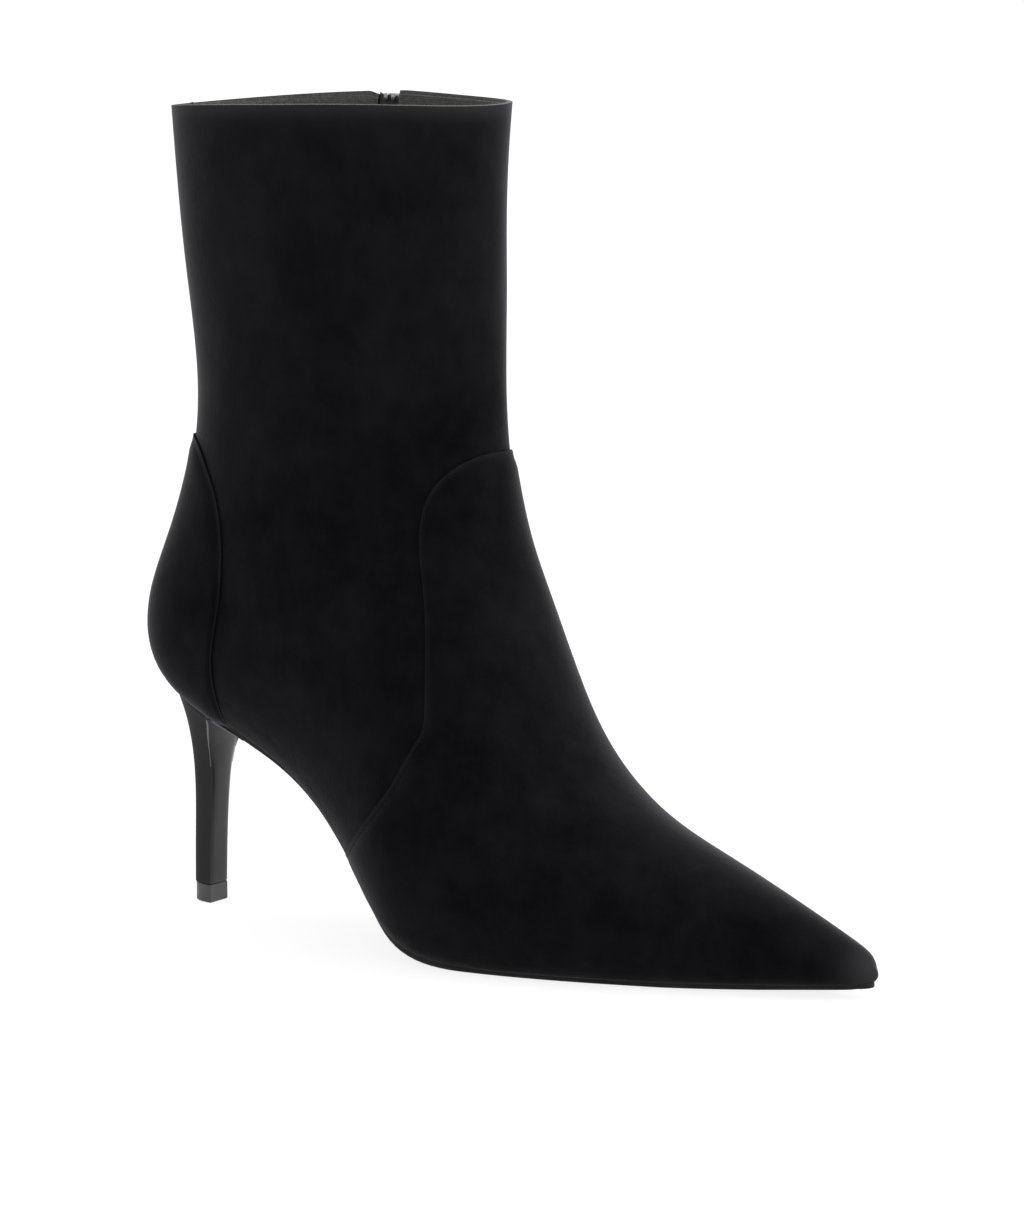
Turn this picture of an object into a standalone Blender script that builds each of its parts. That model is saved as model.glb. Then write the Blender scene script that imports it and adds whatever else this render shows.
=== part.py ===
"""Pointed ankle boot for the right foot, on a stiletto heel.

All sizes in the tables are millimetres, measured from the middle of the heel tip on the floor:
x runs to the toe, minus y is the outer (lateral) side, z is up. The finished parts are moved so
that the origin is the middle of the footprint.
"""

import math

import bmesh
import bpy
import numpy as np
from mathutils import Matrix, Vector

MM = 0.001
CLOSE = 1e-6

# Thicknesses and clearances
WALL = 1.8
GAP = 0.3
OVERLAY_GAP = 0.6
VAMP_THICKNESS = 1.0
COUNTER_THICKNESS = 0.8
INSOLE_THICKNESS = 1.5
BREAST_THICKNESS = 0.8
TAPE_THICKNESS = 0.8
TEETH_THICKNESS = 1.0

# Sections of the last from the toe to the collar. Each is a plane through a top point on the
# ridge and a bottom point under it (or behind it, at the ankle). lateral and medial are half
# widths, flat_* the half widths of the flat tread, middle_y the curve of the foot's axis, widest
# the height share of the greatest width, crown the fullness of the upper quarter, arch the rise of
# the section's middle over its plane.
SECTION_COLUMNS = (
    "top_x", "top_z", "bottom_x", "bottom_z", "lateral", "medial",
    "flat_lateral", "flat_medial", "middle_y", "widest", "crown", "arch",
)
SECTION_ROWS = [
    (236.0, 8.9, 235.7, 7.3, 1.2, 1.2, 0.6, 0.6, 5.0, 0.45, 2.0, 0.0),
    (234.3, 11.1, 233.0, 7.1, 3.2, 3.2, 1.8, 1.8, 5.0, 0.42, 2.0, 0.0),
    (227.3, 14.4, 226.0, 6.7, 7.0, 6.8, 4.0, 4.0, 4.8, 0.4, 2.0, 0.0),
    (210.0, 22.1, 207.5, 6.0, 15.5, 13.5, 11.0, 10.0, 4.0, 0.38, 1.95, 0.0),
    (184.8, 33.2, 180.0, 5.1, 26.2, 22.2, 20.5, 18.0, 2.5, 0.36, 1.9, 0.0),
    (158.1, 45.8, 150.0, 5.0, 35.7, 31.2, 29.0, 26.5, 0.5, 0.35, 1.92, 0.0),
    (138.3, 65.0, 121.0, 5.0, 41.2, 36.2, 34.5, 30.5, -0.5, 0.33, 1.95, 0.0),
    (127.9, 87.3, 96.5, 9.0, 42.5, 35.2, 33.0, 26.5, -0.5, 0.33, 1.97, 0.0),
    (119.9, 107.8, 75.0, 26.2, 38.8, 33.2, 22.0, 20.0, 0.0, 0.37, 1.97, 0.0),
    (113.5, 125.0, 51.5, 46.8, 34.2, 31.5, 16.5, 15.0, 0.0, 0.41, 2.0, 0.0),
    (110.2, 140.0, 28.5, 57.6, 31.0, 30.2, 12.5, 12.0, 0.0, 0.45, 2.0, 0.0),
    (108.9, 151.4, 9.0, 64.9, 28.9, 28.7, 10.0, 10.0, 0.0, 0.45, 2.0, 0.0),
    (108.5, 161.0, -9.6, 74.6, 27.9, 27.9, 5.0, 5.0, 0.0, 0.46, 2.0, 0.0),
    (108.2, 169.4, -16.5, 91.5, 27.9, 27.9, 0.0, 0.0, 0.0, 0.46, 2.0, 0.0),
    (107.7, 177.4, -7.6, 116.0, 28.5, 28.5, 0.0, 0.0, 0.0, 0.47, 2.0, 0.0),
    (107.2, 188.5, 1.4, 142.6, 29.5, 29.5, 0.0, 0.0, 0.0, 0.48, 2.0, 0.0),
    (106.8, 202.6, 3.4, 170.4, 30.7, 30.7, 0.0, 0.0, 0.0, 0.5, 2.0, 0.0),
    (106.5, 221.8, -0.2, 202.2, 32.2, 32.2, 0.0, 0.0, 0.0, 0.5, 2.0, 0.4),
    (107.1, 240.0, -3.1, 229.5, 33.2, 33.2, 0.0, 0.0, 0.0, 0.5, 2.0, 1.4),
    (107.8, 254.7, -4.8, 250.7, 34.2, 34.2, 0.0, 0.0, 0.0, 0.5, 2.0, 2.6),
]
COLLAR = len(SECTION_ROWS) - 1
TOE_NOSE = 0.5

# The station of the vamp's back edge, against the share of the way from the sole to the ridge
VAMP_SEAM = [
    (0.0, 8.05), (0.3, 7.62), (0.48, 7.48), (0.58, 7.7), (0.66, 8.25), (0.72, 8.95),
    (0.76, 9.72), (0.81, 10.5), (0.86, 11.0), (0.92, 11.13), (1.0, 11.03),
]

# The counter's upper edge, from the back seam to the front corner: how far round, station, share
COUNTER_SEAM = [
    (0.0, 15.25, 0.0), (0.14, 15.13, 0.146), (0.28, 14.55, 0.256), (0.4, 13.87, 0.332), (0.51, 13.05, 0.376),
    (0.62, 12.25, 0.357), (0.72, 11.7, 0.3), (0.81, 11.25, 0.233), (0.91, 10.75, 0.165), (1.0, 10.38, 0.095),
]
COUNTER_BACK = 12.45
COUNTER_FRONT = 10.4
EDGE_ABOVE_SOLE = 1.0

# Sole and heel
SOLE_REACH = 0.3
SOLE_THICKNESS = [(0.0, 1.8), (1.0, 2.2), (3.0, 3.0), (6.0, 3.0), (8.0, 2.6), (11.0, 2.2)]
SOLE_TIP = 0.35
SOLE_SECOND = 0.5
SOLE_NOSE = 2.8
SOLE_NOSE_RISE = 0.4
SOLE_LAST = 10.7
HEEL_BREAST = 11.0
HEEL_BACK = 12.2
HEEL_INSET = 0.3
HEEL_COLUMNS = ("front_x", "front_z", "back_x", "back_z", "half_width")
HEEL_ROWS = [
    (2.0, 6.3, -5.7, 6.3, 4.3),
    (2.3, 20.0, -5.6, 20.0, 4.2),
    (3.1, 35.0, -5.7, 37.0, 4.4),
    (4.0, 47.5, -6.7, 51.0, 5.9),
    (5.4, 54.5, -8.5, 61.0, 7.8),
    (7.0, 59.0, -10.8, 68.0, 9.4),
]
TOP_PIECE_HEIGHT = 6.0
TOP_PIECE_REACH = 0.2
TOP_PIECE_FORWARD = 0.2
HEEL_TURN = 18
HEEL_LEVELS = 13

# Zip on the inner side
ZIP_SHARE = 0.4575
ZIP_HALF_SHARE = 0.0265
ZIP_FOOT = 12.0 + 1.0 / 3.0
ZIP_START = ZIP_FOOT + 0.03
SLIDER_STATION = 18.72
SLIDER_LENGTH = 8.5
SLIDER_WIDTH = 6.0
SLIDER_HEIGHT = 2.6
SLIDER_CORNER = 1.6
BAIL_LENGTH = 7.0
BAIL_WIDTH = 1.8
BAIL_HEIGHT = 3.0
BAIL_BAR = 0.9
BAIL_CHAMFER = 0.7
PULL_LENGTH = 23.0
PULL_WIDTH = 6.0
PULL_THICKNESS = 1.1
PULL_BAR = 1.1
PULL_SLOT = (3.0, 4.2)
PULL_CORNER = 2.0
SLOT_CORNER = 0.5

# Colours
SUEDE = (0.007, 0.007, 0.008)
SOLE_BLACK = (0.008, 0.008, 0.008)
HEEL_SUEDE = (0.0235, 0.0235, 0.0240)
BREAST_BLACK = (0.017, 0.017, 0.018)
TIP_GREY = (0.028, 0.028, 0.027)
LINING = (0.10, 0.10, 0.098)
TAPE_GREY = (0.055, 0.055, 0.055)
METAL = (0.29, 0.29, 0.30)

# Fineness of the curves and of the mesh. Rows of the mesh: first station, count, rows per station
LOOKUP_STEPS = 20
QUARTER_POINTS = 41
NORMAL_STEP = 0.02
MESH_ROWS = [(0, 9, 3), (3, 14, 2), (10, 20, 3), (17, 5, 2)]


def natural_spline(rows):
    """The smooth curve through the rows, as a function of the station (the row's number)."""
    count = len(rows)
    system = np.eye(count)
    right = np.zeros_like(rows)
    for i in range(1, count - 1):
        system[i, i - 1 : i + 2] = 1, 4, 1
        right[i] = 6 * (rows[i + 1] - 2 * rows[i] + rows[i - 1])
    bend = np.linalg.solve(system, right)

    def at(station):
        i = int(np.clip(math.floor(station), 0, count - 2))
        b = station - i
        a = 1 - b
        cubic = ((a**3 - a) * bend[i] + (b**3 - b) * bend[i + 1]) / 6
        return a * rows[i] + b * rows[i + 1] + cubic

    return at


def smooth_lookup(rows):
    """A smooth curve through the rows, as a function of their first column."""
    curve = natural_spline(np.array(rows))
    table = np.array([curve(u) for u in np.linspace(0, len(rows) - 1, LOOKUP_STEPS * len(rows))])

    def at(first):
        return [np.interp(first, table[:, 0], table[:, k]) for k in range(1, table.shape[1])]

    return at


last_row = natural_spline(np.array(SECTION_ROWS))
heel_row = natural_spline(np.array(HEEL_ROWS))
vamp_seam = smooth_lookup(VAMP_SEAM)
counter_seam = smooth_lookup(COUNTER_SEAM)
QUARTER = np.linspace(0, math.pi / 2, QUARTER_POINTS)


def section(station):
    return dict(zip(SECTION_COLUMNS, last_row(station)))


def flat_half(row, side):
    return max(0.0, row["flat_lateral"] if side < 0 else row["flat_medial"])


def half_outline(row, side):
    """One side of a section from the bottom to the ridge: offset across, height share, arc, length."""
    wide = row["lateral"] if side < 0 else row["medial"]
    flat = flat_half(row, side)
    lower = flat + (wide - flat) * np.sin(QUARTER)
    upper = wide * np.cos(QUARTER[1:]) ** (2 / row["crown"])
    across = np.concatenate([[0.0], lower, upper])
    rise = row["widest"] * (1 - np.cos(QUARTER))
    crown = row["widest"] + (1 - row["widest"]) * np.sin(QUARTER[1:]) ** (2 / row["crown"])
    height = np.concatenate([[0.0], rise, crown])
    reach = math.hypot(row["top_x"] - row["bottom_x"], row["top_z"] - row["bottom_z"])
    arc = np.concatenate([[0.0], np.cumsum(np.hypot(np.diff(across), np.diff(height) * reach))])
    return across, height, arc / arc[-1], arc[-1]


def last_point(station, share):
    """share runs from -1 (ridge) over the lateral side to 0 (bottom) and the medial side to 1."""
    share = (share + 1) % 2 - 1
    side = -1 if share < 0 else 1
    row = section(station)
    across, height, arc, _ = half_outline(row, side)
    h = np.interp(abs(share), arc, height)
    return np.array([
        row["bottom_x"] + (row["top_x"] - row["bottom_x"]) * h,
        row["middle_y"] + side * np.interp(abs(share), arc, across),
        row["bottom_z"] + (row["top_z"] - row["bottom_z"]) * h + row["arch"] * 4 * h * (1 - h),
    ])


def outward(station, share):
    step = NORMAL_STEP
    before = last_point(max(0.0, station - step), share)
    after = last_point(min(COLLAR, station + step), share)
    around = last_point(station, share + step) - last_point(station, share - step)
    normal = np.cross(after - before, around)
    return normal / np.linalg.norm(normal)


def skin(station, share, out):
    """A point at a distance outside the last."""
    return last_point(station, share) + out * outward(station, share)


def feather_share(station, side, beyond=0.0):
    """The share of the edge of the flat tread, or of a point that far beyond it."""
    _, _, arc, length = half_outline(section(station), side)
    return arc[1] + beyond / length


def seat_half(station, side):
    """The half width of the heel's seat: the flat tread, rounded off to the back."""
    back = np.clip((station - HEEL_BREAST) / (HEEL_BACK - HEEL_BREAST), 0.0, 1.0)
    return flat_half(section(station), side) * math.sqrt(1 - back**4)


def station_list(first, last):
    every = [start + k / per for start, count, per in MESH_ROWS for k in range(count)]
    return [s for s in every if first - CLOSE <= s <= last + CLOSE]


# Collections and materials
for old in list(bpy.data.objects):
    bpy.data.objects.remove(old, do_unlink=True)
boot = bpy.data.collections.new("ankle_boot")
bpy.context.scene.collection.children.link(boot)
helpers = bpy.data.collections.new("helpers")
bpy.context.scene.collection.children.link(helpers)


def material(name, colour, roughness, metallic=0.0):
    made = bpy.data.materials.new(name)
    made.use_nodes = True
    shader = made.node_tree.nodes["Principled BSDF"]
    shader.inputs["Base Color"].default_value = (*colour, 1.0)
    shader.inputs["Roughness"].default_value = roughness
    shader.inputs["Metallic"].default_value = metallic
    made.diffuse_color = (*colour, 1.0)
    return made


suede = material("suede", SUEDE, 0.9)
sole_black = material("sole_black", SOLE_BLACK, 0.6)
heel_suede = material("heel_suede", HEEL_SUEDE, 0.9)
breast_black = material("breast_black", BREAST_BLACK, 0.2)
tip_grey = material("tip_grey", TIP_GREY, 0.6)
lining = material("lining", LINING, 0.9)
tape_grey = material("tape_grey", TAPE_GREY, 0.9)
metal = material("metal", METAL, 0.35, 1.0)


# Mesh helpers
SHARP_ANGLE = math.radians(40)


def link(name, mesh, look, collection=boot):
    mesh.shade_smooth()
    mesh.set_sharp_from_angle(angle=SHARP_ANGLE)
    made = bpy.data.objects.new(name, mesh)
    made.data.materials.append(look)
    collection.objects.link(made)
    return made


def grid(name, rows, look, closed=False, keep=None, nose=None):
    """A surface through rows of points, optionally closed round and with a point at its first row."""
    bm = bmesh.new()
    verts = [[bm.verts.new(Vector(p) * MM) for p in row] for row in rows]
    width = len(rows[0])
    for i in range(len(rows) - 1):
        for j in range(width if closed else width - 1):
            if keep is None or keep(i, j):
                k = (j + 1) % width
                bm.faces.new((verts[i][j], verts[i + 1][j], verts[i + 1][k], verts[i][k]))
    if nose is not None:
        tip = bm.verts.new(Vector(nose) * MM)
        for j in range(width if closed else width - 1):
            bm.faces.new((tip, verts[0][j], verts[0][(j + 1) % width]))
    loose = [v for v in bm.verts if not v.link_faces]
    bmesh.ops.delete(bm, geom=loose, context="VERTS")
    mesh = bpy.data.meshes.new(name)
    bm.to_mesh(mesh)
    bm.free()
    return link(name, mesh, look)


def solidify(made, thickness):
    """A wall grown to the side the faces look to."""
    mod = made.modifiers.new("wall", "SOLIDIFY")
    mod.thickness = thickness * MM
    mod.offset = 1.0
    mod.use_even_offset = True
    mod.use_quality_normals = True
    return made


def tube(name, rings, look):
    """A solid through closed rings of points; each ring is an arc whose ends pair up across."""
    bm = bmesh.new()
    verts = [[bm.verts.new(Vector(p) * MM) for p in ring] for ring in rings]
    count = len(rings[0])
    for low, high in zip(verts, verts[1:]):
        for j in range(count):
            k = (j + 1) % count
            bm.faces.new((low[j], low[k], high[k], high[j]))
    for ring in (verts[0], verts[-1]):
        for j in range(count // 2 - 1):
            bm.faces.new((ring[j], ring[j + 1], ring[count - 2 - j], ring[count - 1 - j]))
    bmesh.ops.recalc_face_normals(bm, faces=bm.faces)
    if bm.calc_volume(signed=True) < 0:
        bmesh.ops.reverse_faces(bm, faces=bm.faces)
    mesh = bpy.data.meshes.new(name)
    bm.to_mesh(mesh)
    bm.free()
    return link(name, mesh, look)


# Upper: one hollow shell, open at the collar, under the foot and along the zip
MARGIN_COLUMNS = 3
MARGIN_LEAST = 0.07
HOLE_COLUMNS = 2
HOLE_FIRST = 2.0
HOLE_LAST = 11.5
zip_edges = [ZIP_SHARE - ZIP_HALF_SHARE, ZIP_SHARE + ZIP_HALF_SHARE]
zip_climb = [(share - MARGIN_LEAST) / (1 - MARGIN_LEAST) for share in zip_edges]
SIDE_CLIMB = sorted([0.085, 0.17, 0.255, 0.33, *zip_climb, 0.52, 0.61, 0.70, 0.79, 0.865, 0.935])


def upper_shares(station):
    """The shares of one row of the upper's surface: the turned-in margin, then the side."""
    shares = [0.0]
    for side in (1, -1):
        edge = max(MARGIN_LEAST, feather_share(station, side))
        margin = [edge * (i + 1) / MARGIN_COLUMNS for i in range(MARGIN_COLUMNS)]
        climb = [edge + (1 - edge) * c for c in SIDE_CLIMB]
        if side > 0:
            shares += margin + climb + [1.0]
        else:
            shares += [-s for s in reversed(margin + climb)]
    return shares


stations = station_list(0, COLLAR)
rows = [[last_point(t, s) for s in upper_shares(t)] for t in stations]
columns = len(rows[0])
slot_column = MARGIN_COLUMNS + SIDE_CLIMB.index(zip_climb[0]) + 1


def upper_keeps(i, j):
    under = j < HOLE_COLUMNS or j >= columns - HOLE_COLUMNS
    if under and HOLE_FIRST <= stations[i] < HOLE_LAST:
        return False
    return not (j == slot_column and stations[i] >= ZIP_FOOT - CLOSE)


toe = section(0)
nose_point = (toe["top_x"] + TOE_NOSE, toe["middle_y"], (toe["top_z"] + toe["bottom_z"]) / 2)
solidify(grid("upper", rows, suede, closed=True, keep=upper_keeps, nose=nose_point), WALL)

# Vamp: an overlay from the toe to its seam, down to the sole on both sides
VAMP_ROWS = 17
VAMP_COLUMNS = 15
vamp_out = WALL + OVERLAY_GAP
vamp_rows = []
for b in np.linspace(0, 1, VAMP_ROWS):
    line = []
    for a in np.linspace(-1, 1, 2 * VAMP_COLUMNS + 1):
        climb = 1 - abs(a)
        side = -1 if a < 0 else 1
        station = b * vamp_seam(climb)[0]
        edge = feather_share(station, side, EDGE_ABOVE_SOLE)
        line.append(skin(station, side * (edge + (1 - edge) * climb), vamp_out))
    vamp_rows.append(line[::-1])
vamp_nose = (nose_point[0] + vamp_out, nose_point[1], nose_point[2])
solidify(grid("vamp", vamp_rows, suede, nose=vamp_nose), VAMP_THICKNESS)

# Counter: a cup round the heel, from the seat's edge to its seam
COUNTER_TURN = 36
COUNTER_LEVELS = 14
COUNTER_SPREAD = 10
COUNTER_EVEN = 0.75
counter_rows = []
for level in np.linspace(0, 1, COUNTER_LEVELS):
    line = []
    for u in np.linspace(-1, 1, COUNTER_TURN + 1):
        side = -1 if u < 0 else 1
        c = COUNTER_EVEN * abs(u) + (1 - COUNTER_EVEN) * u**2
        low_station = COUNTER_BACK + (COUNTER_FRONT - COUNTER_BACK) * c
        low_half = (seat_half(low_station, side) + EDGE_ABOVE_SOLE) * min(1.0, COUNTER_SPREAD * c)
        low_share = low_half / half_outline(section(low_station), side)[3]
        high_station, high_share = counter_seam(c)
        station = low_station + (high_station - low_station) * level
        share = low_share + (high_share - low_share) * level
        line.append(skin(station, side * share, WALL + OVERLAY_GAP))
    counter_rows.append(line)
solidify(grid("counter", counter_rows, suede), COUNTER_THICKNESS)

# Outsole: from the toe to the heel's breast, flat where it meets the floor
SEAT_FIRST = 9.5
SEAT_LAST = 13.2
SEAT_POINTS = 38
SEAT_STATIONS = np.linspace(SEAT_FIRST, SEAT_LAST, SEAT_POINTS)


def seat_height(x, out):
    """The height of the line under the middle of the seat, at a distance outside the last."""
    line = np.array([skin(t, 0.0, out) for t in SEAT_STATIONS])
    return np.interp(-x, -line[:, 0], line[:, 2])


def sole_ring(station, top, low):
    row = section(station)
    lateral = row["middle_y"] - flat_half(row, -1) - SOLE_REACH
    medial = row["middle_y"] + flat_half(row, 1) + SOLE_REACH
    return [
        (top[0], lateral, top[2]), (low[0], lateral, low[2]),
        (low[0], medial, low[2]), (top[0], medial, top[2]),
    ]


breast_x = skin(HEEL_BREAST, 0.0, WALL + GAP)[0]
thick_station, thick_value = zip(*SOLE_THICKNESS)
sole_rings = []
for t in [SOLE_TIP] + station_list(SOLE_SECOND, SOLE_LAST):
    top = skin(t, 0.0, WALL + GAP)
    low = skin(t, 0.0, WALL + GAP + np.interp(t, thick_station, thick_value))
    low[2] = max(0.0, low[2])
    sole_rings.append(sole_ring(t, top, low))
nose = [(x + SOLE_NOSE, y, z + SOLE_NOSE_RISE) for x, y, z in sole_rings[0]]
sole_rings.insert(0, nose)
end_top = (breast_x, 0.0, seat_height(breast_x, WALL + GAP))
end_low = (breast_x, 0.0, seat_height(breast_x, WALL + GAP + thick_value[-1]))
sole_rings.append(sole_ring(HEEL_BREAST, end_top, end_low))
tube("outsole", sole_rings, sole_black)

# Insole: a board on the turned-in margin
INSOLE_FIRST = 1.0
INSOLE_LAST = 12.0
insole_rows = []
for t in station_list(INSOLE_FIRST, INSOLE_LAST):
    row = section(t)
    point = skin(t, 0.0, -GAP)
    lateral = row["middle_y"] - flat_half(row, -1)
    medial = row["middle_y"] + flat_half(row, 1)
    insole_rows.append([(point[0], medial, point[2]), (point[0], lateral, point[2])])
solidify(grid("insole", insole_rows, lining), INSOLE_THICKNESS)


# Heel: a slim D section from the top piece to the seat
def d_ring(front_x, front_z, back_x, back_z, half_width):
    ring = []
    for k in range(HEEL_TURN):
        angle = math.pi * k / (HEEL_TURN - 1)
        back = math.sin(angle)
        x = front_x + (back_x - front_x) * back
        z = front_z + (back_z - front_z) * back
        ring.append((x, -half_width * math.cos(angle), z))
    return ring


heel_levels = np.linspace(0, len(HEEL_ROWS) - 1, HEEL_LEVELS)
heel_rings = [d_ring(*heel_row(level)) for level in heel_levels]
seat_ring = []
for k in range(HEEL_TURN):
    turn = 1 - abs(2 * k / (HEEL_TURN - 1) - 1)
    side = -1 if k < HEEL_TURN / 2 else 1
    t = HEEL_BREAST + (HEEL_BACK - HEEL_BREAST) * math.sin(turn * math.pi / 2)
    point = skin(t, 0.0, WALL + GAP)
    half = max(0.0, seat_half(t, side) - HEEL_INSET)
    seat_ring.append((point[0] - GAP, side * half, seat_height(point[0] - GAP, WALL + GAP)))
heel_rings.append(seat_ring)
tube("heel", heel_rings, heel_suede)

# Breast: the covering on the heel's front
breast_rows = []
for level in heel_levels:
    front_x, front_z, _, _, half_width = heel_row(level)
    reach = half_width - GAP
    breast_rows.append([(front_x + GAP, reach, front_z), (front_x + GAP, -reach, front_z)])
solidify(grid("heel_breast", breast_rows, breast_black), BREAST_THICKNESS)

# Top piece: the wearing block under the heel
first = dict(zip(HEEL_COLUMNS, HEEL_ROWS[0]))
tip_rings = []
for z in (0.0, TOP_PIECE_HEIGHT):
    tip_rings.append(d_ring(
        first["front_x"] + TOP_PIECE_FORWARD + GAP + BREAST_THICKNESS, z,
        first["back_x"] + TOP_PIECE_FORWARD, z,
        first["half_width"] + TOP_PIECE_REACH,
    ))
tube("top_piece", tip_rings, tip_grey)


# Zip: tape, teeth, slider and its pull
def strip(name, half_share, out, thickness, last_station, look):
    inner = [s for s in station_list(ZIP_START, COLLAR) if s < last_station]
    places = [ZIP_START, *inner, last_station]
    lines = []
    for t in places:
        lines.append([skin(t, ZIP_SHARE + side * half_share, out) for side in (-1, 1)])
    return solidify(grid(name, lines, look), thickness)


half_length = half_outline(section(COLLAR), 1)[3]
tape_half = ZIP_HALF_SHARE - GAP / half_length
TAPE_OUT = 0.2
TEETH_OUT = TAPE_OUT + TAPE_THICKNESS + GAP
TEETH_HALF = 0.016
SLIDER_MM_PER_STATION = 18.5
ZIP_RUN = 0.5
teeth_end = SLIDER_STATION - (SLIDER_LENGTH / 2 + GAP) / SLIDER_MM_PER_STATION
strip("zip_tape", tape_half, TAPE_OUT, TAPE_THICKNESS, COLLAR, tape_grey)
strip("zip_teeth", TEETH_HALF, TEETH_OUT, TEETH_THICKNESS, teeth_end, metal)

slider_at = skin(SLIDER_STATION, ZIP_SHARE, TEETH_OUT)
along = last_point(COLLAR, ZIP_SHARE) - last_point(COLLAR - ZIP_RUN, ZIP_SHARE)
up_axis = Vector(along).normalized()
out_axis = Vector(outward(SLIDER_STATION, ZIP_SHARE))
out_axis = (out_axis - up_axis * out_axis.dot(up_axis)).normalized()
side_axis = up_axis.cross(out_axis)
slider_frame = Matrix((side_axis, up_axis, out_axis)).transposed().to_4x4()
slider_frame.translation = Vector(slider_at) * MM


def plate(name, outlines, thickness, look, collection=boot):
    """A flat piece from closed outlines in its own x and y; a second outline is a hole."""
    curve = bpy.data.curves.new(name, "CURVE")
    curve.dimensions = "2D"
    curve.fill_mode = "BOTH"
    curve.extrude = thickness / 2 * MM
    for outline in outlines:
        spline = curve.splines.new("POLY")
        spline.points.add(len(outline) - 1)
        for point, (x, y) in zip(spline.points, outline):
            point.co = (x * MM, y * MM, 0.0, 1.0)
        spline.use_cyclic_u = True
    shape = bpy.data.objects.new(name + "_outline", curve)
    helpers.objects.link(shape)
    mesh = bpy.data.meshes.new_from_object(shape.evaluated_get(bpy.context.evaluated_depsgraph_get()))
    bpy.data.objects.remove(shape, do_unlink=True)
    mesh.name = name
    bm = bmesh.new()
    bm.from_mesh(mesh)
    bmesh.ops.remove_doubles(bm, verts=bm.verts, dist=CLOSE)
    bmesh.ops.recalc_face_normals(bm, faces=bm.faces)
    bm.to_mesh(mesh)
    bm.free()
    mesh.materials.clear()
    return link(name, mesh, look, collection)


def rounded(width, length, radius, steps=3):
    """A rectangle with rounded corners about the origin."""
    points = []
    for corner in range(4):
        sx = 1 if corner in (0, 3) else -1
        sy = 1 if corner in (0, 1) else -1
        for step in range(steps + 1):
            angle = math.pi / 2 * (corner + step / steps)
            points.append((
                sx * (width / 2 - radius) + radius * math.cos(angle),
                sy * (length / 2 - radius) + radius * math.sin(angle),
            ))
    return points


slider = plate("zip_slider", [rounded(SLIDER_WIDTH, SLIDER_LENGTH, SLIDER_CORNER)], SLIDER_HEIGHT, metal)
slider.matrix_world = slider_frame @ Matrix.Translation((0, 0, SLIDER_HEIGHT / 2 * MM))
BAIL_SINK = 0.6
leg = BAIL_LENGTH / 2
inside = leg - BAIL_BAR
ceiling = BAIL_HEIGHT - BAIL_BAR
arch = [
    (-leg, -BAIL_SINK), (-leg, BAIL_HEIGHT - BAIL_CHAMFER), (-leg + BAIL_CHAMFER, BAIL_HEIGHT),
    (leg - BAIL_CHAMFER, BAIL_HEIGHT), (leg, BAIL_HEIGHT - BAIL_CHAMFER), (leg, -BAIL_SINK),
    (inside, -BAIL_SINK), (inside, ceiling), (-inside, ceiling), (-inside, -BAIL_SINK),
]
bail = plate("zip_bail", [arch], BAIL_WIDTH, metal, helpers)
stand_up = Matrix(((0, 0, 1), (1, 0, 0), (0, 1, 0))).to_4x4()
bail.matrix_world = slider_frame @ Matrix.Translation((0, 0, SLIDER_HEIGHT * MM)) @ stand_up
bail.hide_render = True
bail.display_type = "WIRE"
join = slider.modifiers.new("bail", "BOOLEAN")
join.operation = "UNION"
join.solver = "EXACT"
join.object = bail

PIVOT_HEIGHT = SLIDER_HEIGHT + (BAIL_HEIGHT - BAIL_BAR) / 2
slot_width, slot_length = PULL_SLOT
outer = [(x, y - PULL_LENGTH / 2 + PULL_BAR / 2) for x, y in rounded(PULL_WIDTH, PULL_LENGTH, PULL_CORNER)]
inner = [(x, y - slot_length / 2 - PULL_BAR / 2) for x, y in rounded(slot_width, slot_length, SLOT_CORNER)]
pull = plate("zip_pull", [outer, inner[::-1]], PULL_THICKNESS, metal)
pull.matrix_world = slider_frame @ Matrix.Translation((0, 0, PIVOT_HEIGHT * MM))

# Origin at the middle of the footprint
bpy.context.view_layer.update()
graph = bpy.context.evaluated_depsgraph_get()
corners = []
for made in boot.objects:
    shape = made.evaluated_get(graph)
    corners += [shape.matrix_world @ v.co for v in shape.data.vertices]
corners = np.array([tuple(c) for c in corners])
low, high = corners.min(axis=0), corners.max(axis=0)
shift = Vector(((low[0] + high[0]) / 2, (low[1] + high[1]) / 2, low[2]))
for made in list(boot.objects) + list(helpers.objects):
    made.matrix_world = Matrix.Translation(-shift) @ made.matrix_world
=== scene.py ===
"""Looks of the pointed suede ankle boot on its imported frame.

Shapes are worked out in millimetres from the middle of the heel tip, as in the part's source: x runs
to the toe, minus y is the outer side, z is up. place() brings them into the frame, in metres.
"""

import math

import bmesh
import bpy
import numpy as np
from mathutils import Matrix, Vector


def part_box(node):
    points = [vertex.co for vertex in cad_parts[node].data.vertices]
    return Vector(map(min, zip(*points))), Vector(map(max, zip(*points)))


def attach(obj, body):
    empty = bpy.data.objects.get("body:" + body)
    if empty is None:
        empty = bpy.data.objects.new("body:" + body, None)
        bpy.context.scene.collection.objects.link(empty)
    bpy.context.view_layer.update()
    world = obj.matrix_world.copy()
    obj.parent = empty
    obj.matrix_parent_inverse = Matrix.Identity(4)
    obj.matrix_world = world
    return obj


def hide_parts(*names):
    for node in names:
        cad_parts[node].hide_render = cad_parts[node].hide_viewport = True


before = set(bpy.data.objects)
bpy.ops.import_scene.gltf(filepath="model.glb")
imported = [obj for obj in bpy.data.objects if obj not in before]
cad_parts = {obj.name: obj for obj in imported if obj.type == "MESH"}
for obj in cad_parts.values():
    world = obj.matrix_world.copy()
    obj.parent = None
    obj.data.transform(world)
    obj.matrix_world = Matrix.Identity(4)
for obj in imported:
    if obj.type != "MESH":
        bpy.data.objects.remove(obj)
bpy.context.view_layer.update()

MM = 0.001

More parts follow.
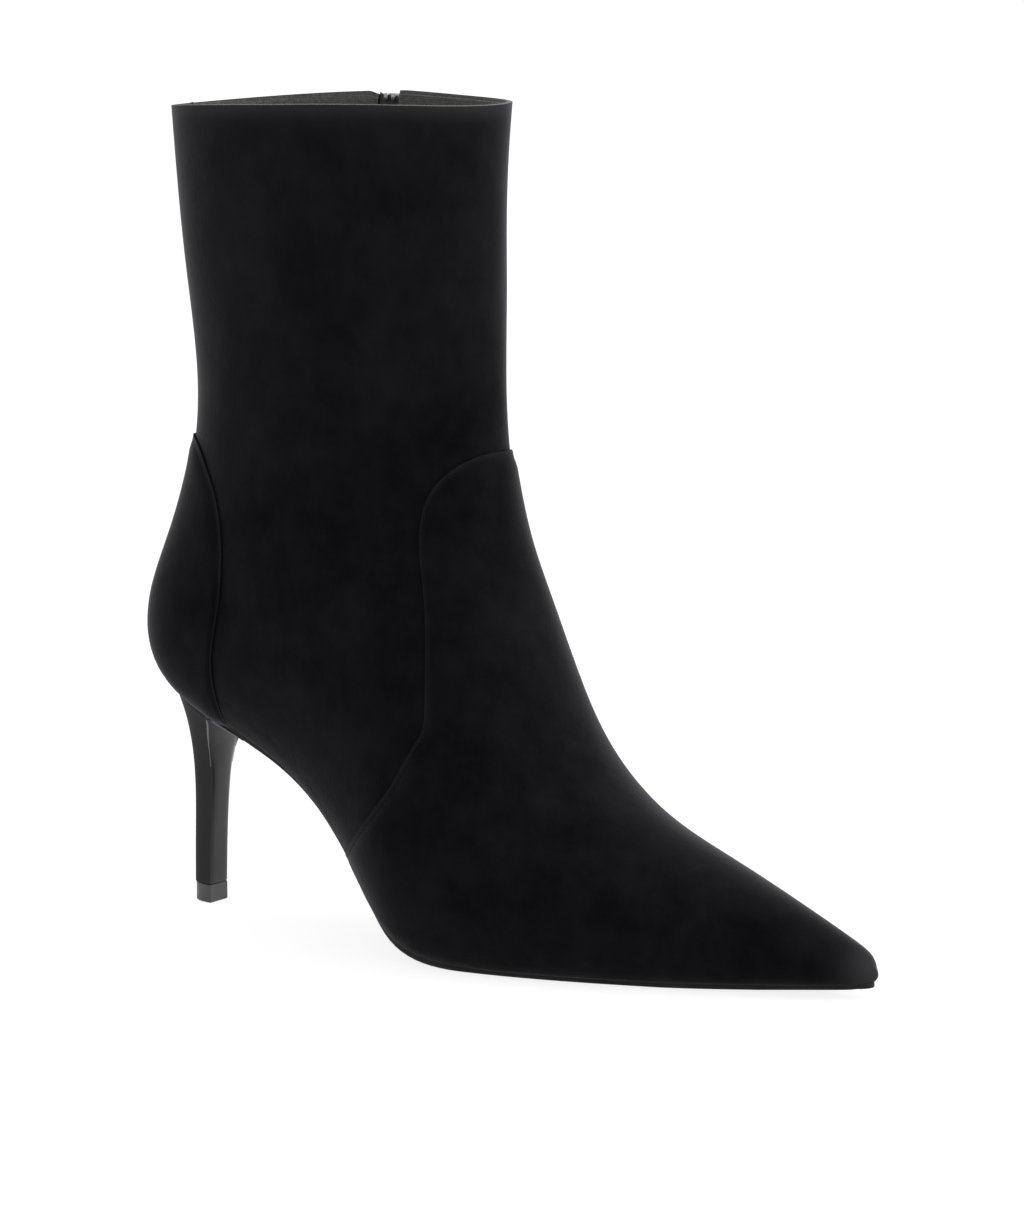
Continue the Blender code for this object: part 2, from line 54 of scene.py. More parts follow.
# Thicknesses and clearances, as in the solids
WALL = 1.8
GAP = 0.3
VAMP_OUT = 3.4
COUNTER_OUT = 3.2
OVERLAY_SINK = 0.1

# Sections of the last from the toe to the collar
SECTION_COLUMNS = (
    "top_x", "top_z", "bottom_x", "bottom_z", "lateral", "medial",
    "flat_lateral", "flat_medial", "middle_y", "widest", "crown", "arch",
)
SECTION_ROWS = [
    (236.0, 8.9, 235.7, 7.3, 1.2, 1.2, 0.6, 0.6, 5.0, 0.45, 2.0, 0.0),
    (234.3, 11.1, 233.0, 7.1, 3.2, 3.2, 1.8, 1.8, 5.0, 0.42, 2.0, 0.0),
    (227.3, 14.4, 226.0, 6.7, 7.0, 6.8, 4.0, 4.0, 4.8, 0.4, 2.0, 0.0),
    (210.0, 22.1, 207.5, 6.0, 15.5, 13.5, 11.0, 10.0, 4.0, 0.38, 1.95, 0.0),
    (184.8, 33.2, 180.0, 5.1, 26.2, 22.2, 20.5, 18.0, 2.5, 0.36, 1.9, 0.0),
    (158.1, 45.8, 150.0, 5.0, 35.7, 31.2, 29.0, 26.5, 0.5, 0.35, 1.92, 0.0),
    (138.3, 65.0, 121.0, 5.0, 41.2, 36.2, 34.5, 30.5, -0.5, 0.33, 1.95, 0.0),
    (127.9, 87.3, 96.5, 9.0, 42.5, 35.2, 33.0, 26.5, -0.5, 0.33, 1.97, 0.0),
    (119.9, 107.8, 75.0, 26.2, 38.8, 33.2, 22.0, 20.0, 0.0, 0.37, 1.97, 0.0),
    (113.5, 125.0, 51.5, 46.8, 34.2, 31.5, 16.5, 15.0, 0.0, 0.41, 2.0, 0.0),
    (110.2, 140.0, 28.5, 57.6, 31.0, 30.2, 12.5, 12.0, 0.0, 0.45, 2.0, 0.0),
    (108.9, 151.4, 9.0, 64.9, 28.9, 28.7, 10.0, 10.0, 0.0, 0.45, 2.0, 0.0),
    (108.5, 161.0, -9.6, 74.6, 27.9, 27.9, 5.0, 5.0, 0.0, 0.46, 2.0, 0.0),
    (108.2, 169.4, -16.5, 91.5, 27.9, 27.9, 0.0, 0.0, 0.0, 0.46, 2.0, 0.0),
    (107.7, 177.4, -7.6, 116.0, 28.5, 28.5, 0.0, 0.0, 0.0, 0.47, 2.0, 0.0),
    (107.2, 188.5, 1.4, 142.6, 29.5, 29.5, 0.0, 0.0, 0.0, 0.48, 2.0, 0.0),
    (106.8, 202.6, 3.4, 170.4, 30.7, 30.7, 0.0, 0.0, 0.0, 0.5, 2.0, 0.0),
    (106.5, 221.8, -0.2, 202.2, 32.2, 32.2, 0.0, 0.0, 0.0, 0.5, 2.0, 0.4),
    (107.1, 240.0, -3.1, 229.5, 33.2, 33.2, 0.0, 0.0, 0.0, 0.5, 2.0, 1.4),
    (108.3, 255.4, -4.8, 251.3, 34.2, 34.2, 0.0, 0.0, 0.0, 0.5, 2.0, 1.7),
]
COLLAR = len(SECTION_ROWS) - 1
# The collar's line: how much higher its outer front and lower its inner front are, as shares of the arch
OUTER_RISE = 0.2
INNER_DIP = 0.55
INNER_BOW = 1.2

# Seams, sole, heel and zip, as in the solids
VAMP_SEAM = [
    (0.0, 8.12), (0.3, 7.72), (0.42, 7.62), (0.52, 7.62), (0.58, 7.73), (0.66, 8.32), (0.72, 8.99),
    (0.76, 9.72), (0.81, 10.58), (0.86, 11.02), (0.92, 11.13), (1.0, 11.02),
]
COUNTER_SEAM = [
    (0.0, 15.25, 0.0), (0.14, 15.13, 0.146), (0.28, 14.55, 0.256), (0.4, 13.87, 0.332), (0.51, 13.05, 0.376),
    (0.62, 12.25, 0.357), (0.72, 11.7, 0.3), (0.81, 11.25, 0.233), (0.91, 10.75, 0.165), (1.0, 10.38, 0.095),
]
COUNTER_BACK = 12.45
COUNTER_FRONT = 10.4
COUNTER_SPREAD = 10
EDGE_ABOVE_SOLE = 1.0
SOLE_REACH = 0.3
SOLE_THICKNESS = [(0.0, 1.8), (1.0, 2.2), (3.0, 3.0), (6.0, 3.0), (8.0, 2.6), (11.0, 2.2)]
SOLE_TIP = 0.35
SOLE_NOSE = 4.1
SOLE_NOSE_RISE = 0.4
SOLE_LAST = 10.7
HEEL_BREAST = 11.0
HEEL_BACK = 12.2
HEEL_ROWS = [
    (2.2, 6.1, -6.0, 6.1, 4.55),
    (2.6, 20.0, -5.9, 20.0, 4.5),
    (3.4, 35.0, -5.8, 37.0, 4.6),
    (4.0, 47.5, -6.7, 51.0, 6.3),
    (5.4, 54.5, -8.5, 61.0, 8.9),
    (7.0, 59.0, -10.8, 68.0, 11.2),
]
BREAST_OUT = 0.6
TOP_PIECE_HEIGHT = 6.0
ZIP_SHARE = 0.4575
ZIP_HALF_SHARE = 0.0265
ZIP_FOOT = 12.0 + 1.0 / 3.0
SLIDER_STATION = 18.72
SLIDER_LENGTH = 8.5
SLIDER_WIDTH = 6.0
SLIDER_HEIGHT = 2.6
BAIL_LENGTH = 7.0
BAIL_WIDTH = 1.8
BAIL_HEIGHT = 3.0
BAIL_BAR = 0.9
PULL_LENGTH = 23.0
PULL_WIDTH = 6.0
PULL_THICKNESS = 1.1
PULL_BAR = 1.1
PULL_SLOT = (3.0, 4.2)
TEETH_OUT = 1.3

# The frame's place of the heel tip
tip_low, tip_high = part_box("top_piece")
TIP_BACK = -5.5
ORIGIN = np.array([tip_low.x - TIP_BACK * MM, (tip_low.y + tip_high.y) / 2, 0.0])


def place(points):
    """Points of the frame, in metres."""
    return np.asarray(points, float) * MM + ORIGIN


# Curves
def unit(vectors):
    """The vectors, each with the length 1."""
    return vectors / np.linalg.norm(vectors, axis=-1, keepdims=True)


def natural_spline(rows):
    """The smooth curve through the rows, as a function of the row's number."""
    rows = np.asarray(rows, float)
    count = len(rows)
    system = np.eye(count)
    right = np.zeros_like(rows)
    for i in range(1, count - 1):
        system[i, i - 1 : i + 2] = 1, 4, 1
        right[i] = 6 * (rows[i + 1] - 2 * rows[i] + rows[i - 1])
    bend = np.linalg.solve(system, right)

    def at(number):
        i = int(np.clip(math.floor(number), 0, count - 2))
        b = number - i
        a = 1 - b
        cubic = ((a**3 - a) * bend[i] + (b**3 - b) * bend[i + 1]) / 6
        return a * rows[i] + b * rows[i + 1] + cubic

    return at


LOOKUP_STEPS = 20


def smooth_lookup(rows):
    """Smooth curves through the rows' columns, as functions of their first column."""
    curve = natural_spline(rows)
    table = np.array([curve(u) for u in np.linspace(0, len(rows) - 1, LOOKUP_STEPS * len(rows))])

    def at(first):
        found = [np.interp(first, table[:, 0], table[:, k]) for k in range(1, table.shape[1])]
        return found[0] if len(found) == 1 else found

    return at


vamp_seam = smooth_lookup(VAMP_SEAM)
counter_seam = smooth_lookup(COUNTER_SEAM)

# The last's surface as a fine table of points, sampled smoothly in between
PER_STATION = 24
AROUND = 480
QUARTER_POINTS = 161
QUARTER = np.linspace(0, math.pi / 2, QUARTER_POINTS)
TABLE_STATIONS = np.linspace(0, COLLAR, COLLAR * PER_STATION + 1)
TABLE_SHARES = np.arange(AROUND) / AROUND * 2 - 1


def half_outline(row, side):
    """One side of a section from the bottom to the ridge: offset across, height share, arc share, length."""
    wide = row["lateral"] if side < 0 else row["medial"]
    flat = max(0.0, row["flat_lateral"] if side < 0 else row["flat_medial"])
    lower = flat + (wide - flat) * np.sin(QUARTER)
    upper = wide * np.cos(QUARTER[1:]) ** (2 / row["crown"])
    across = np.concatenate([[0.0], lower, upper])
    rise = row["widest"] * (1 - np.cos(QUARTER))
    crown = row["widest"] + (1 - row["widest"]) * np.sin(QUARTER[1:]) ** (2 / row["crown"])
    height = np.concatenate([[0.0], rise, crown])
    reach = math.hypot(row["top_x"] - row["bottom_x"], row["top_z"] - row["bottom_z"])
    arc = np.concatenate([[0.0], np.cumsum(np.hypot(np.diff(across), np.diff(height) * reach))])
    return across, height, arc / arc[-1], arc[-1]


last_row = natural_spline(SECTION_ROWS)
SIDES = (-1, 1)
points_table = np.zeros((len(TABLE_STATIONS), AROUND, 3))
flat_half = {side: np.zeros(len(TABLE_STATIONS)) for side in SIDES}
tread_share = {side: np.zeros(len(TABLE_STATIONS)) for side in SIDES}
half_length = {side: np.zeros(len(TABLE_STATIONS)) for side in SIDES}
side_half = {side: np.zeros(len(TABLE_STATIONS)) for side in SIDES}
middle_y = np.zeros(len(TABLE_STATIONS))
for i, t in enumerate(TABLE_STATIONS):
    row = dict(zip(SECTION_COLUMNS, last_row(t)))
    middle_y[i] = row["middle_y"]
    for side in SIDES:
        across, height, arc, length = half_outline(row, side)
        mine = TABLE_SHARES < 0 if side < 0 else TABLE_SHARES >= 0
        share = np.abs(TABLE_SHARES[mine])
        h = np.interp(share, arc, height)
        points_table[i, mine, 0] = row["bottom_x"] + (row["top_x"] - row["bottom_x"]) * h
        points_table[i, mine, 1] = row["middle_y"] + side * np.interp(share, arc, across)
        straight = row["bottom_z"] + (row["top_z"] - row["bottom_z"]) * h
        front = np.sin(2 * math.pi * np.clip(h, 0.5, 1.0))
        swell, tilt = (1.0, -OUTER_RISE) if side < 0 else (INNER_BOW, INNER_DIP)
        points_table[i, mine, 2] = straight + row["arch"] * (swell * 4 * h * (1 - h) + tilt * front)
        flat_half[side][i] = across[1]
        tread_share[side][i] = arc[1]
        half_length[side][i] = length
        side_half[side][i] = across.max()
along_table = np.gradient(points_table, axis=0)
around_table = (np.roll(points_table, -1, axis=1) - np.roll(points_table, 1, axis=1)) / 2
normal_table = unit(np.cross(along_table, around_table))


def sample(table, station, share):
    """Smooth values of a table at arrays of stations and shares."""
    v = np.clip(station, 0, COLLAR) * PER_STATION
    u = (np.asarray(share, float) + 1) % 2 / 2 * AROUND
    i = np.minimum(np.floor(v).astype(int), len(table) - 2)
    j = np.floor(u).astype(int)
    found = 0.0
    for di, row_weight in zip((-1, 0, 1, 2), cubic_weights(v - i)):
        rows = np.clip(i + di, 0, len(table) - 1)
        for dj, column_weight in zip((-1, 0, 1, 2), cubic_weights(u - j)):
            found = found + (row_weight * column_weight)[..., None] * table[rows, (j + dj) % AROUND]
    return found


def cubic_weights(f):
    return (
        -0.5 * f + f**2 - 0.5 * f**3,
        1 - 2.5 * f**2 + 1.5 * f**3,
        0.5 * f + 2 * f**2 - 1.5 * f**3,
        -0.5 * f**2 + 0.5 * f**3,
    )


def skin(station, share, out):
    """Points at a distance outside the last, for arrays of one shape."""
    station, share, out = np.broadcast_arrays(
        np.asarray(station, float), np.asarray(share, float), np.asarray(out, float)
    )
    return sample(points_table, station, share) + out[..., None] * normals(station, share)


def normals(station, share):
    return unit(sample(normal_table, np.asarray(station, float), np.asarray(share, float)))


def by_side(tables, station, side):
    """The value at a station for the outer side, below 0, or the inner one."""
    lateral = np.interp(station, TABLE_STATIONS, tables[-1])
    medial = np.interp(station, TABLE_STATIONS, tables[1])
    return np.where(np.asarray(side) < 0, lateral, medial)


def feather_share(station, side, beyond):
    """The share of a point that far beyond the edge of the flat tread."""
    return by_side(tread_share, station, side) + beyond / by_side(half_length, station, side)


def seat_half(station, side):
    """Half the width of the flat seat, which closes in a round behind the heel's front."""
    back = np.clip((station - HEEL_BREAST) / (HEEL_BACK - HEEL_BREAST), 0.0, 1.0)
    return by_side(flat_half, station, side) * np.sqrt(1 - back**4)


def square_turn(angle, power):
    """A point of a half circle that a power squares off: its places aside and above."""
    aside = math.cos(angle)
    return math.copysign(abs(aside) ** power, aside), abs(math.sin(angle)) ** power


def groove(distance, at, width, depth):
    """The depth of a soft trough that runs at a distance from an edge."""
    return depth * np.exp(-(((distance - at) / width) ** 2))


# Meshes
SHARP = math.radians(38)
WELD = 0.01
EDGE_SEGMENTS = 3
scene = bpy.context.scene


def add_mesh(name, verts, faces, look, body="boot", painted_sheen_and_tone=None):
    """A new piece, with each point's share of a lighter tone: painted sheen on suede, the heel's tone."""
    mesh = bpy.data.meshes.new(name)
    mesh.from_pydata([tuple(p) for p in place(verts)], [], faces)
    if painted_sheen_and_tone is not None:
        mesh.attributes.new("painted_sheen_and_tone", "FLOAT", "POINT").data.foreach_set("value", np.asarray(painted_sheen_and_tone, float))
    mesh.validate()
    mesh.materials.append(look)
    made = bpy.data.objects.new(name, mesh)
    scene.collection.objects.link(made)
    shade(made)
    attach(made, body)
    return made


def shade(made):
    """Smooth faces between sharp folds."""
    made.data.shade_smooth()
    made.data.set_sharp_from_angle(angle=SHARP)


def grid_faces(rows, columns, closed=False, keep=None, turned=False):
    """Faces between rows of points; turned ones look the other way."""
    faces = []
    for i in range(rows - 1):
        for j in range(columns if closed else columns - 1):
            if keep is None or keep[i, j]:
                k = (j + 1) % columns
                a, b = i * columns, (i + 1) * columns
                face = (a + j, b + j, b + k, a + k)
                faces.append(face[::-1] if turned else face)
    return faces


def add_sheet(name, points, look, turned=False, painted_sheen_and_tone=None):
    """A new piece through a grid of points."""
    faces = grid_faces(*points.shape[:2], turned=turned)
    return add_mesh(name, points.reshape(-1, 3), faces, look, painted_sheen_and_tone=painted_sheen_and_tone)


def ring_faces(levels, count):
    """Faces of a closed body through rings of points."""
    faces = []
    for i in range(levels - 1):
        for j in range(count):
            k = (j + 1) % count
            a, b = i * count, (i + 1) * count
            faces.append((a + j, a + k, b + k, b + j))
    faces.append(tuple(reversed(range(count))))
    faces.append(tuple((levels - 1) * count + j for j in range(count)))
    return faces


def tube(name, rings, look, painted_sheen_and_tone=None):
    """A closed body through rings, with each ring's share of a lighter tone when given."""
    rings = np.asarray(rings)
    levels, count = rings.shape[:2]
    if painted_sheen_and_tone is not None:
        painted_sheen_and_tone = np.repeat(painted_sheen_and_tone, count)
    made = add_mesh(name, rings.reshape(-1, 3), ring_faces(levels, count), look, painted_sheen_and_tone=painted_sheen_and_tone)
    rework(made, lambda bm: bmesh.ops.recalc_face_normals(bm, faces=bm.faces))
    shade(made)
    return made


def thick(made, thickness, round_edge, edge_look=None):
    """Gives a sheet its thickness, to the inside, with rounded edges, which may have a look of their own."""
    wall = made.modifiers.new("wall", "SOLIDIFY")
    if edge_look is not None:
        made.data.materials.append(edge_look)
        wall.material_offset_rim = 1
    wall.thickness = thickness * MM
    wall.offset = -1.0
    wall.use_even_offset = True
    wall.use_quality_normals = True
    soft = made.modifiers.new("round", "BEVEL")
    soft.width = round_edge * MM
    soft.segments = EDGE_SEGMENTS
    soft.limit_method = "ANGLE"
    soft.angle_limit = SHARP
    bpy.context.view_layer.update()
    done = bpy.data.meshes.new_from_object(made.evaluated_get(bpy.context.evaluated_depsgraph_get()))
    made.modifiers.clear()
    made.data = done
    shade(made)


def rework(made, change):
    """Lets a function change the mesh of a piece."""
    bm = bmesh.new()
    bm.from_mesh(made.data)
    change(bm)
    bm.to_mesh(made.data)
    bm.free()


def gather(blocks):
    """Blocks joined into one list of points and faces."""
    verts, faces = [], []
    for points, own in blocks:
        first = len(verts)
        verts += list(points)
        faces += [tuple(first + v for v in face) for face in own]
    return verts, faces


# Materials: shader nodes, whose inputs take a number, a colour or the output of another node
def shader_of(name):
    made = bpy.data.materials.new(name)
    made.use_nodes = True
    return made, made.node_tree, made.node_tree.nodes["Principled BSDF"]


def feed(tree, made, inputs):
    for key, value in inputs.items():
        if isinstance(value, bpy.types.NodeSocket):
            tree.links.new(value, made.inputs[key])
        else:
            made.inputs[key].default_value = value


def add_node(tree, kind, inputs, **settings):
    made = tree.nodes.new(kind)
    for key, value in settings.items():
        setattr(made, key, value)
    feed(tree, made, inputs)
    return made


def mapped(tree, **change):
    """The object's own coordinates, stretched or turned."""
    source = tree.nodes.new("ShaderNodeTexCoord").outputs["Object"]
    return add_node(tree, "ShaderNodeMapping", {"Vector": source, **change}).outputs["Vector"]


def noise(tree, scale, detail, roughness, source=None):
    if source is None:
        source = tree.nodes.new("ShaderNodeTexCoord").outputs["Object"]
    inputs = {"Vector": source, "Scale": scale, "Detail": detail, "Roughness": roughness}
    return add_node(tree, "ShaderNodeTexNoise", inputs).outputs["Fac"]


def ramp(tree, source, limits, ends):
    """Maps a value between two limits to numbers or colours between two ends."""
    if isinstance(ends[0], tuple):
        made = add_node(tree, "ShaderNodeValToRGB", {"Fac": source})
        for element, limit, colour in zip(made.color_ramp.elements, limits, ends):
            element.position = limit
            element.color = (*colour, 1.0)
        return made.outputs["Color"]
    inputs = dict(zip(("From Min", "From Max", "To Min", "To Max"), (*limits, *ends)))
    return add_node(tree, "ShaderNodeMapRange", {"Value": source, **inputs}).outputs["Result"]


def add_values(tree, first, second, weight):
    inputs = {0: second, 1: weight, 2: first}
    return add_node(tree, "ShaderNodeMath", inputs, operation="MULTIPLY_ADD").outputs["Value"]


def bump(tree, height, strength, distance):
    inputs = {"Height": height, "Strength": strength, "Distance": distance}
    return add_node(tree, "ShaderNodeBump", inputs).outputs["Normal"]


# Suede: tones, noise patterns (scale, detail, roughness) and their limits
NAP_DARK = (0.0012, 0.0011, 0.0015)
NAP_LIGHT = (0.0038, 0.0036, 0.0044)
# Tones that the attribute mixes in: a painted sheen on the upper's pieces, and the heel's own tone
NAP_PAINTED_SHEEN = (0.0240, 0.0240, 0.0255)
HEEL_TONE = (0.0235, 0.0235, 0.0240)
CLOUDS = (55.0, 4.0, 0.6)
STROKES = (190.0, 3.0, 0.6)
STROKE_STRETCH = (1.0, 1.0, 0.55)
STROKE_WEIGHT = 0.5
TONE_LIMITS = (0.55, 0.95)
NAP_ROUGH_LIMITS = (0.3, 0.7)
NAP_ROUGHNESS = (0.98, 0.86)
NAP_SPECULAR = 0.05
SHEEN_TINT = (0.90, 0.88, 1.0, 1.0)
PILE = (2600.0, 2.0, 0.7)
FIBRES = (700.0, 3.0, 0.6)
FIBRE_WEIGHT = 1.5
PILE_HEIGHT = 0.00012


def suede_look(name, lighter_tone=NAP_PAINTED_SHEEN, nap=0.4, sheen=0.21, spread=0.33):
    """Brushed suede: cloudy patches of nap, a fine pile and a pale sheen at the rims."""
    made, tree, shader = shader_of(name)
    clouds = noise(tree, *CLOUDS)
    strokes = noise(tree, *STROKES, source=mapped(tree, Scale=STROKE_STRETCH))
    tone = ramp(tree, add_values(tree, clouds, strokes, STROKE_WEIGHT), TONE_LIMITS, (NAP_DARK, NAP_LIGHT))
    # The attribute's share of the lighter tone: painted sheen on the upper's pieces, the heel's own tone on
    # the heel
    painted_sheen_and_tone = add_node(tree, "ShaderNodeAttribute", {}, attribute_name="painted_sheen_and_tone").outputs["Fac"]
    mix = {"Factor": painted_sheen_and_tone, "A": tone, "B": (*lighter_tone, 1.0)}
    pile = add_values(tree, noise(tree, *PILE), noise(tree, *FIBRES), FIBRE_WEIGHT)
    feed(tree, shader, {
        "Base Color": add_node(tree, "ShaderNodeMix", mix, data_type="RGBA").outputs["Result"],
        "Roughness": ramp(tree, clouds, NAP_ROUGH_LIMITS, NAP_ROUGHNESS),
        "Specular IOR Level": NAP_SPECULAR,
        "Sheen Weight": sheen,
        "Sheen Roughness": spread,
        "Sheen Tint": SHEEN_TINT,
        "Normal": bump(tree, pile, nap, PILE_HEIGHT),
    })
    return made


# Smooth materials: patches of colour, finer smears of gloss, and a grain
PATCH_DETAIL = (4.0, 0.55)
PATCH_LIMITS = (0.35, 0.7)
SMEAR_FINER = 2.3
SMEAR_DETAIL = (3.0, 0.5)
SMEAR_LIMITS = (0.3, 0.7)
SMEAR_SPREAD = 0.2
GRAIN = (1800.0, 2.0, 0.6)
GRAIN_HEIGHT = 0.00006


def plain_look(name, dark, light, scale, roughness, grain=0.15, metallic=0.0, specular=0.5):
    """A smooth material with slight variations of colour and gloss and a fine grain."""
    made, tree, shader = shader_of(name)
    smear = noise(tree, scale * SMEAR_FINER, *SMEAR_DETAIL)
    gloss = (roughness * (1 - SMEAR_SPREAD), roughness * (1 + SMEAR_SPREAD))
    feed(tree, shader, {
        "Base Color": ramp(tree, noise(tree, scale, *PATCH_DETAIL), PATCH_LIMITS, (dark, light)),
        "Roughness": ramp(tree, smear, SMEAR_LIMITS, gloss),
        "Metallic": metallic,
        "Specular IOR Level": specular,
        "Normal": bump(tree, noise(tree, *GRAIN), grain, GRAIN_HEIGHT),
    })
    return made


# Cloth: threads, a mottled colour and a slight fuzz
SPECKLE = (900.0, 3.0, 0.7)
SPECKLE_LIMITS = (0.4, 0.72)
SPECKLE_WEIGHT = 0.6
THREAD_TURNS = ((0.0, 0.0, 0.0), (0.0, math.pi / 2, 0.0))
THREAD_WAVER = 1.5
THREAD_ROUGHNESS = (0.95, 0.8)
CLOTH_SPECULAR = 0.2
CLOTH_SHEEN = 0.15
CLOTH_SHEEN_SPREAD = 0.4
WEAVE_STRENGTH = 0.5
WEAVE_HEIGHT = 0.0001


def cloth_look(name, dark, light, thread):
    """Woven cloth: two crossing sets of threads and a mottled colour."""
    made, tree, shader = shader_of(name)
    sets = []
    for turn in THREAD_TURNS:
        inputs = {"Vector": mapped(tree, Rotation=turn), "Scale": thread, "Distortion": THREAD_WAVER}
        sets.append(add_node(tree, "ShaderNodeTexWave", inputs).outputs["Fac"])
    speckle = noise(tree, *SPECKLE)
    weave = add_values(tree, add_values(tree, *sets, 1.0), speckle, SPECKLE_WEIGHT)
    feed(tree, shader, {
        "Base Color": ramp(tree, speckle, SPECKLE_LIMITS, (dark, light)),
        "Roughness": ramp(tree, sets[0], (0.0, 1.0), THREAD_ROUGHNESS),
        "Specular IOR Level": CLOTH_SPECULAR,
        "Sheen Weight": CLOTH_SHEEN,
        "Sheen Roughness": CLOTH_SHEEN_SPREAD,
        "Normal": bump(tree, weave, WEAVE_STRENGTH, WEAVE_HEIGHT),
    })
    return made


suede = suede_look("suede")
# The counter's copy of the suede has less and narrower sheen: painted shade on its rim
counter_look = suede_look("counter_suede", sheen=0.2, spread=0.29)
heel_suede = suede_look("heel_suede", lighter_tone=HEEL_TONE, nap=0.2, sheen=0.12)
thread_look = suede_look("thread", lighter_tone=NAP_LIGHT, nap=0.1)
cut_edge = plain_look(
    "cut_edge", (0.0035, 0.0035, 0.0038), (0.0055, 0.0055, 0.0060), scale=300.0, roughness=0.95, specular=0.02
)
sole_look = plain_look(
    "sole_leather", (0.006, 0.006, 0.006), (0.011, 0.011, 0.011), scale=120.0, roughness=0.4, specular=0.1
)
breast_look = plain_look(
    "breast_gloss", (0.012, 0.012, 0.013), (0.022, 0.022, 0.024), scale=60.0, roughness=0.2, specular=0.3
)
# The beads' pale colour is a painted highlight along the breast's edges
bead_highlight_look = plain_look("breast_rim_highlight", (0.09, 0.09, 0.092), (0.16, 0.16, 0.164), scale=300.0, roughness=0.4)
tip_look = plain_look(
    "tip_plastic", (0.020, 0.020, 0.019), (0.036, 0.036, 0.034), scale=220.0, roughness=0.38, grain=0.25
)
metal_look = plain_look(
    "zip_metal", (0.24, 0.24, 0.25), (0.34, 0.34, 0.35), scale=400.0, roughness=0.3, metallic=1.0
)
lining_look = cloth_look("lining_cloth", (0.062, 0.062, 0.060), (0.108, 0.108, 0.105), thread=420.0)
# The tapes are black; their grey tone is partly painted sheen
tape_look = cloth_look("tape_weave", (0.040, 0.040, 0.040), (0.075, 0.075, 0.075), thread=520.0)

# Faces that turn under get copies of the suede with less sheen, painted shade: heights of the normal, and the
# sheen below each
UNDER_SHADED_SHEEN = ((-0.3, 0.15), (-0.5, 0.09), (-0.7, 0.04))
shaded_under_looks = [
    suede_look(f"suede_shaded_under_{i + 1}", sheen=sheen) for i, (limit, sheen) in enumerate(UNDER_SHADED_SHEEN)
]


def shade_under(made):
    """Gives the faces that look down shaded copies of the suede, with less sheen."""
    first_under = len(made.data.materials)
    for look in shaded_under_looks:
        made.data.materials.append(look)
    for face in made.data.polygons:
        under = sum(face.normal.z < limit for limit, sheen in UNDER_SHADED_SHEEN)
        if under and face.material_index == 0:
            face.material_index = first_under + under - 1


# Spacing of a sheet's rows: close together at a finished edge, even over the rest
EDGE_ROWS = (0.0, 0.3, 0.6, 0.9, 1.2, 1.5, 1.8, 2.1, 2.4, 2.7, 3.0, 3.5, 4.2, 5.2)
FINE = 301


def edge_spaced(path, columns, rest):
    """Stations and shares of a sheet's rows, close together at its edge, with their distances from it.

    path(b, columns) gives stations and shares for shares b of the way; b = 1 is the finished edge.
    """
    b = np.linspace(0, 1, FINE)[:, None] * np.ones(len(columns))[None]
    line = skin(*path(b, np.broadcast_to(columns, b.shape)), WALL)
    steps = np.linalg.norm(np.diff(line, axis=0), axis=2)
    run = np.concatenate([np.zeros((1, len(columns))), np.cumsum(steps, axis=0)])
    found = np.zeros((len(EDGE_ROWS) + rest, len(columns)))
    from_edge = np.zeros_like(found)
    for j in range(len(columns)):
        total = run[-1, j]
        close = np.minimum(np.array(EDGE_ROWS), total * np.linspace(0, 0.5, len(EDGE_ROWS)) + EDGE_ROWS[1])
        close[0] = 0.0
        inner = np.linspace(close[-1], total, rest + 1)[1:]
        wanted = np.concatenate([close, inner])[::-1]
        found[:, j] = np.interp(total - wanted, run[:, j], b[:, j])
        from_edge[:, j] = wanted
    return *path(found, np.broadcast_to(columns, found.shape)), from_edge


def places_along(points, out_normals, pitch):
    """Evenly spaced places on a line of points: the place, the direction along and the direction out."""
    steps = np.linalg.norm(np.diff(points, axis=0), axis=1)
    run = np.concatenate([[0.0], np.cumsum(steps)])
    count = int(run[-1] // pitch)
    at = (run[-1] - count * pitch) / 2 + pitch * (np.arange(count) + 0.5)
    numbers = np.arange(len(points))
    for a in np.interp(at, run, numbers):
        middle = np.array([np.interp(a, numbers, points[:, k]) for k in range(3)])
        up = np.array([np.interp(a, numbers, out_normals[:, k]) for k in range(3)])
        i = int(min(a, len(points) - 2))
        along = unit(points[i + 1] - points[i])
        yield middle, along, unit(up - along * up.dot(along))


# Stitches lie in a shallow groove beside an edge, sunk in the nap
STITCH_AT = 1.9
STITCH_WIDTH = 0.55
STITCH_DEPTH = 0.08
STITCH_LENGTH = 1.7
STITCH_PITCH = 2.3
STITCH_RINGS = 7
STITCH_TURN = 6
STITCH_END = 0.02
THREAD = 0.4
THREAD_SINK = 0.28


def stitch_row(name, points, out_normals):
    """Short rounded stitches in a row along a line of points."""
    stitches = []
    for middle, along, up in places_along(points, out_normals, STITCH_PITCH):
        across = np.cross(up, along)
        rings = []
        for u in np.linspace(-1, 1, STITCH_RINGS):
            radius = THREAD / 2 * math.sqrt(max(STITCH_END, 1 - u**4))
            rise = THREAD / 2 * (1 - u**2) - THREAD_SINK
            centre = middle + along * (u * STITCH_LENGTH / 2) + up * rise
            for k in range(STITCH_TURN):
                angle = 2 * math.pi * k / STITCH_TURN
                rings.append(centre + radius * (math.cos(angle) * across + math.sin(angle) * up))
        stitches.append((rings, ring_faces(STITCH_RINGS, STITCH_TURN)))
    made = add_mesh(name, *gather(stitches), thread_look)


def seam_stitches(name, points, station, share, from_seam):
    """Stitches along the row of a sheet that lies over the groove."""
    row = int(np.argmin(np.abs(from_seam - STITCH_AT)))
    stitch_row(name, points[row], normals(station[row], share[row]))


# Overlays are pared thin towards their seams, whose edges get a painted sheen, a lighter tone
EDGE_STEP = 0.8
EDGE_PARED = 6.0
EDGE_PAINTED_SHEEN = 0.2
EDGE_PAINTED_SHEEN_RUN = 1.3


